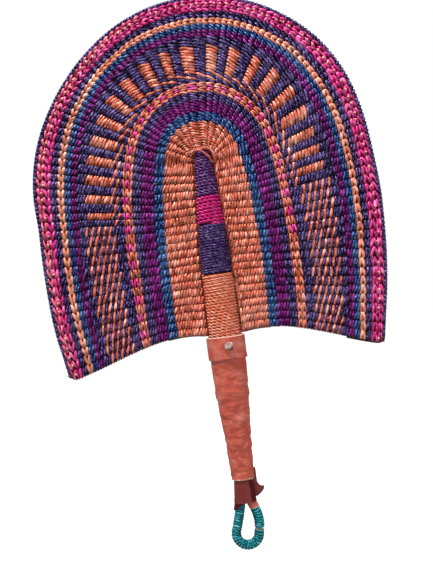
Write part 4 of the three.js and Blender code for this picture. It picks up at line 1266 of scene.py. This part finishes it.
class FAN_OT_grip_leather(bpy.types.Operator):
    """Covers the grip with its leather: collar, sleeve, end wrap and the wrap's loose tail"""

    bl_idname = "fan.grip_leather"
    bl_label = "Grip Leather"

    def execute(self, context):
        self.add_collar()
        self.add_sleeve(context.scene.fan_leather.wall / MM)
        self.add_wrap()
        self.add_tail()
        return {"FINISHED"}

    def add_collar(self):
        shape = Shape(82)
        levels = np.linspace(COLLAR_TOP, SLEEVE_TOP, 34)
        leather_shell(shape, levels, lambda z: COLLAR_HALF, lambda z: -1.45, 1.1, collar_dent, low_edge=0.2)
        shape.make("collar_leather", "leather_tan", [leather("tan")], "collar")

    def add_sleeve(self, wall):
        shape = Shape(81)
        levels = np.linspace(SLEEVE_TOP + 7, SLEEVE_END, 150)
        leather_shell(shape, levels, sleeve_half, lambda z: 0.0, wall, sleeve_dent)
        shape.make("sleeve_leather", "leather_tan", [leather("tan")], "grip_sleeve")

    def add_wrap(self):
        def down(z):
            return max(0.0, (SLEEVE_END - z) / (SLEEVE_END - WRAP_MOUTH))

        def half(z):
            start = sleeve_half(z)
            return start + (10.6 - start) * down(z)
        shape = Shape(83)
        levels = np.linspace(SLEEVE_END + 6, WRAP_MOUTH, 40)
        leather_shell(shape, levels, half, lambda z: 1.5 * (1 - down(z)), 1.3, wrap_dent, 160)
        self.add_inner_layer(shape)
        hides = [leather("maroon"), leather("dark")]
        piece = shape.make("end_wrap_leather", "leather_maroon", hides, "end_wrap")
        # Where the outer layer leaves the under layer bare, its faces take the dark hide, the maroon painted
        # in shade.
        for face in piece.data.polygons:
            centre = face.center
            on_wrap = centre.z > WRAP_MOUTH * MM - 0.0002
            if on_wrap and shows_under_layer(math.atan2(centre.y / OVAL_RATIO, centre.x)):
                face.material_index = 1

    def add_inner_layer(self, shape):
        """The wrap's inner layer, in the maroon painted in shade, whose edge hangs below the outer one round
        the left leg and behind.
        """
        line = loop_line()
        degrees = np.linspace(20, 300, 48)
        angles = np.radians(degrees)
        drops = between([(20, 1.0), (60, 3.4), (120, 3.6), (160, 5.5), (200, 6.2), (240, 4.6), (275, 1.6),
                         (300, -0.6)], degrees)
        behind = between([(20, 1.0), (110, 1.0), (150, 0.0)], degrees)
        rows = []
        for share in np.linspace(0, 1, 10):
            z = WRAP_MOUTH + 3.5 - (3.5 + drops) * share
            leg_x = along_line(line, np.array([loop_share(line, level, False) for level in z]))[:, 0]
            outer, inner = (np.column_stack([
                leg_x + radius * np.cos(angles) + behind * (4.8 + 3.2 * np.cos(angles)),
                radius * np.sin(angles) + 0.8 * behind, z])
                for radius in (LOOP_THICKNESS / 2 + 1.2, LOOP_THICKNESS / 2 + 0.4))
            rows.append(np.vstack([outer, inner[::-1]]))
        first = shape.add_grid(np.array(rows), inks=1)
        columns = 2 * len(degrees)
        for start, turned in ((first, True), (first + (len(rows) - 1) * columns, False)):
            for i in range(len(degrees) - 1):
                other = columns - 1 - i
                shape.add_face([start + corner for corner in (i, i + 1, other - 1, other)], turned, 1)

    def add_tail(self):
        """A strip up the sleeve's right edge and a pointed flap below it."""
        shape = Shape(84)
        right = [(-72, 10.4), (-70.8, 12.2), (-69.4, 14.6), (-66.9, 17.4), (-64.6, 18.2), (-63.6, 18.0),
                 (-63.2, 15.2), (-61.3, 13.4), (-58.5, 12.2), (-45.5, 12.1)]
        columns = 9
        rows = []
        for z in np.linspace(-45.5, -71.5, 40):
            x = np.linspace(8.4 + 0.3 * math.sin((z + 45.5) / 8), between(right, z), columns)
            bend = 1.1 * ((x - 10) / 8) ** 2 * 3.2 - 0.4 * np.sin((z + 45) / 5)
            taper = 0.65 - 0.25 * (x - x[0]) / 9
            front, back = (np.column_stack([x, bend + side * taper, np.full(columns, z)]) for side in (-1, 1))
            rows.append(np.vstack([front, back[::-1]]))
        raw = np.zeros(2 * columns)
        raw[columns - 1:columns + 1] = 0.6
        shape.add_body(np.array(rows), raw=raw)
        shape.make("wrap_tail_leather", "leather_maroon", [leather("maroon")], "wrap_tail")


class FAN_OT_peg(bpy.types.Operator):
    """Pushes the fibrous peg into the front of the collar"""

    bl_idname = "fan.peg"
    bl_label = "Collar Peg"

    def execute(self, context):
        shape = Shape(91)
        head_middle = np.array([2.0, -16.0, COLLAR_TOP - 8.2])
        along = unit(np.array([-0.33, -0.78, 0.53]))
        side = unit(np.cross(along, np.array([0.0, 0.0, 1.0])))
        up = np.cross(side, along)
        lean = math.radians(-24)
        wide_way = math.cos(lean) * side + math.sin(lean) * up
        tall_way = -math.sin(lean) * side + math.cos(lean) * up
        profile = [(-8.0, 2.4, 2.1), (-2.4, 2.4, 2.1), (-1.4, 2.7, 2.3), (-0.8, 3.4, 2.8), (0.0, 4.0, 3.3),
                   (0.7, 4.1, 3.4), (1.3, 3.9, 3.2), (1.7, 3.4, 2.8), (1.85, 2.5, 2.0), (1.8, 1.4, 1.2),
                   (1.75, 0.5, 0.4)]
        angle = circle(40)
        rows, raw = [], []
        for distance, wide, tall in profile:
            head = min(max((distance + 2.0) / 1.4, 0), 1)
            ragged, push = np.array([
                (1 + 0.09 * head * soft_noise(math.cos(a) * 3, math.sin(a) * 3, distance),
                 0.5 * head * soft_noise(math.cos(a) * wide, math.sin(a) * tall, 4.0)) for a in angle]).T
            rows.append(head_middle + along * distance + np.outer(push, along)
                        + np.outer(np.cos(angle) * wide * ragged, wide_way)
                        + np.outer(np.sin(angle) * tall * ragged, tall_way))
            raw.append([head])
        shape.add_body(np.array(rows), raw=np.array(raw))
        shape.make("peg_head", "peg_wood", [peg_material()], "collar_peg")
        return {"FINISHED"}


class FAN_OT_hanging_loop(bpy.types.Operator):
    """Binds the hanging loop with teal cords and adds its leather tab"""

    bl_idname = "fan.hanging_loop"
    bl_label = "Hanging Loop"

    def execute(self, context):
        line = loop_line()
        length = line_length(line)
        pitch = context.scene.fan_bindings.loop_pitch / MM
        core_radius = LOOP_THICKNESS / 2 - pitch * 0.42
        core = Shape(101)
        core.add_tube(line, BACK, core_radius, core_radius, 14)
        core.make("loop_straw_core", "straw_natural", [straw("natural")], "loop_core")
        tab_top = loop_share(line, WRAP_MOUTH - 0.5, True)
        tab_end = tab_top - TAB_LENGTH / length
        gap, half_gap = loop_share(line, LOOP_BREAK_Z, True), LOOP_BREAK_HALF / length
        left_start = loop_share(line, WRAP_MOUTH + 8, False)
        for seed, side, start, end in ((102, "left", left_start, gap - half_gap),
                                       (103, "right", gap + half_gap, tab_end + 1.0 / length)):
            shape = Shape(seed)
            add_loop_winding(shape, line, start, end, pitch)
            shape.make("loop_cord_" + side, "straw_teal", [straw("teal")], "loop_binding_" + side)
        self.add_tab(line, tab_end, tab_top)
        return {"FINISHED"}

    def add_tab(self, line, start, end):
        """A short sleeve of tan leather round the loop's right leg, its lower end cut slantwise."""
        shape = Shape(104)
        angle = circle(48)
        rows = []
        profile = [(0.0, 0.45, 1.0), (0.06, 0.05, 0.8), (0.3, 0.0, 0.0), (0.6, 0.05, 0.0), (0.85, 0.0, 0.0),
                   (1.0, 0.3, 0.6), (1.0, 1.4, 0.6), (0.5, 1.4, 0.0), (0.0, 1.3, 1.0)]
        for share, depth, _ in profile:
            shares = start + (end - start) * (share + 0.16 * np.cos(angle) * (1 - share))
            middle, _, outs = round_loop(line, shares, -angle, 0.003)
            crumple = np.array([soft_noise(math.cos(a) * 2, math.sin(a) * 2, share * 3) for a in angle])
            rows.append(middle + outs * (LOOP_THICKNESS / 2 - 0.1 - depth + 0.18 * crumple)[:, None])
        shape.add_grid(np.array(rows), True, raw=np.array(profile)[:, 2:])
        shape.make("loop_tab_leather", "leather_tan", [leather("tan")], "loop_tab")


class FAN_OT_stage(bpy.types.Operator):
    """Sets the pale floor, the soft lights, the white surroundings and the camera"""

    bl_idname = "fan.stage"
    bl_label = "Stage"

    def execute(self, context):
        settings = context.scene.fan_stage
        context.scene.view_settings.view_transform = "Standard"
        self.add_floor()
        self.set_world(context.scene, settings.fill)
        self.add_light("key_light", (-0.35, -0.45, 1.5), 0.45, settings.key_power)
        self.add_light("side_light", (1.0, -1.1, 0.45), 0.8, settings.key_power * 0.2)
        self.add_light("back_light", (0.35, 1.1, 0.8), 0.6, settings.key_power * 0.4)
        self.add_camera(context.scene, settings)
        return {"FINISHED"}

    def add_floor(self):
        half, z = 3.0, -0.1205
        mesh = bpy.data.meshes.new("floor")
        corners = [(-half, -half, z), (half, -half, z), (half, half, z), (-half, half, z)]
        mesh.from_pydata(corners, [], [(0, 1, 2, 3)])
        floor = bpy.data.objects.new("floor", mesh)
        bpy.context.scene.collection.objects.link(floor)
        material, tree, shader = new_material("floor_white")
        speck = cloud(tree, object_place(tree), (30.0, 30.0, 30.0))
        seen = add_node(tree, "ShaderNodeLightPath").outputs["Is Camera Ray"]
        feed(tree, shader["Base Color"], mixed(tree, speck, linear("a4a4a4"), linear("acacac")))
        feed(tree, shader["Roughness"], 0.9)
        feed(tree, shader["Emission Color"], (1, 1, 1, 1))
        feed(tree, shader["Emission Strength"], product(tree, seen, 0.88))
        mesh.materials.append(material)

    def set_world(self, scene, fill):
        world = bpy.data.worlds.new("studio")
        world.use_nodes = True
        scene.world = world
        tree = world.node_tree
        tree.nodes.clear()
        seen = add_node(tree, "ShaderNodeLightPath").outputs["Is Camera Ray"]
        strength = ramped(tree, seen, 0.0, 1.0, fill, 1.0)
        back = add_node(tree, "ShaderNodeBackground", {"Color": (1, 1, 1, 1), "Strength": strength})
        add_node(tree, "ShaderNodeOutputWorld", {"Surface": back.outputs["Background"]})

    def add_light(self, name, place, size, power):
        light = bpy.data.lights.new(name, "AREA")
        light.shape, light.size, light.energy = "DISK", size, power
        lamp = bpy.data.objects.new(name, light)
        bpy.context.scene.collection.objects.link(lamp)
        lamp.location = place
        lamp.rotation_mode = "QUATERNION"
        lamp.rotation_quaternion = (Vector(place) - Vector((0, 0, 0.15))).to_track_quat("Z", "Y")

    def add_camera(self, scene, settings):
        """The photograph's view: its middle lies on the spine, and its height is 516 mm at the fan."""
        aim = Vector((-2.4, 0.0, 118.0)) * MM
        seen_height = PHOTO_SIZE[1] * 0.895 * MM
        data = bpy.data.cameras.new("camera")
        data.sensor_width = 36.0
        data.lens = data.sensor_width * settings.distance / seen_height
        camera = bpy.data.objects.new("camera", data)
        scene.collection.objects.link(camera)
        back = Vector((0, -math.cos(settings.look_down), math.sin(settings.look_down)))
        camera.location = aim + back * settings.distance
        side = Vector((1, 0, 0))
        up = back.cross(side)
        turn = settings.roll
        right = side * math.cos(turn) - up * math.sin(turn)
        over = up * math.cos(turn) + side * math.sin(turn)
        camera.rotation_mode = "QUATERNION"
        camera.rotation_quaternion = Matrix((right, over, back)).transposed().to_quaternion()
        scene.camera = camera


BUILD_ORDER = (FAN_OT_stakes, FAN_OT_wefts, FAN_OT_border, FAN_OT_bundle, FAN_OT_spine, FAN_OT_tip_strand,
               FAN_OT_grip_leather, FAN_OT_peg, FAN_OT_hanging_loop, FAN_OT_stage)


class FAN_PT_panel(bpy.types.Panel):
    """Lists the fan's settings and the steps that build it"""

    bl_idname = "FAN_PT_panel"
    bl_label = "Straw Hand Fan"
    bl_space_type = "VIEW_3D"
    bl_region_type = "UI"
    bl_category = "Fan"

    def draw(self, context):
        layout = self.layout
        for operator in BUILD_ORDER:
            layout.operator(operator.bl_idname)
        for key, group in SETTINGS.items():
            box = layout.box()
            box.label(text=group.__doc__)
            for name in group.__annotations__:
                box.prop(getattr(context.scene, key), name)


SETTINGS = {"fan_dyes": DyeSettings, "fan_blade": BladeSettings, "fan_bindings": BindingSettings,
            "fan_leather": LeatherSettings, "fan_stage": StageSettings}
CLASSES = tuple(SETTINGS.values()) + BUILD_ORDER + (FAN_PT_panel,)


def register():
    for item in CLASSES:
        bpy.utils.register_class(item)
    for key, group in SETTINGS.items():
        setattr(bpy.types.Scene, key, bpy.props.PointerProperty(type=group))


def unregister():
    for key in SETTINGS:
        delattr(bpy.types.Scene, key)
    for item in reversed(CLASSES):
        bpy.utils.unregister_class(item)


def main():
    register()
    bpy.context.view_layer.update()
    for operator in BUILD_ORDER:
        group, name = operator.bl_idname.split(".")
        getattr(getattr(bpy.ops, group), name)()


if __name__ == "__main__":
    main()
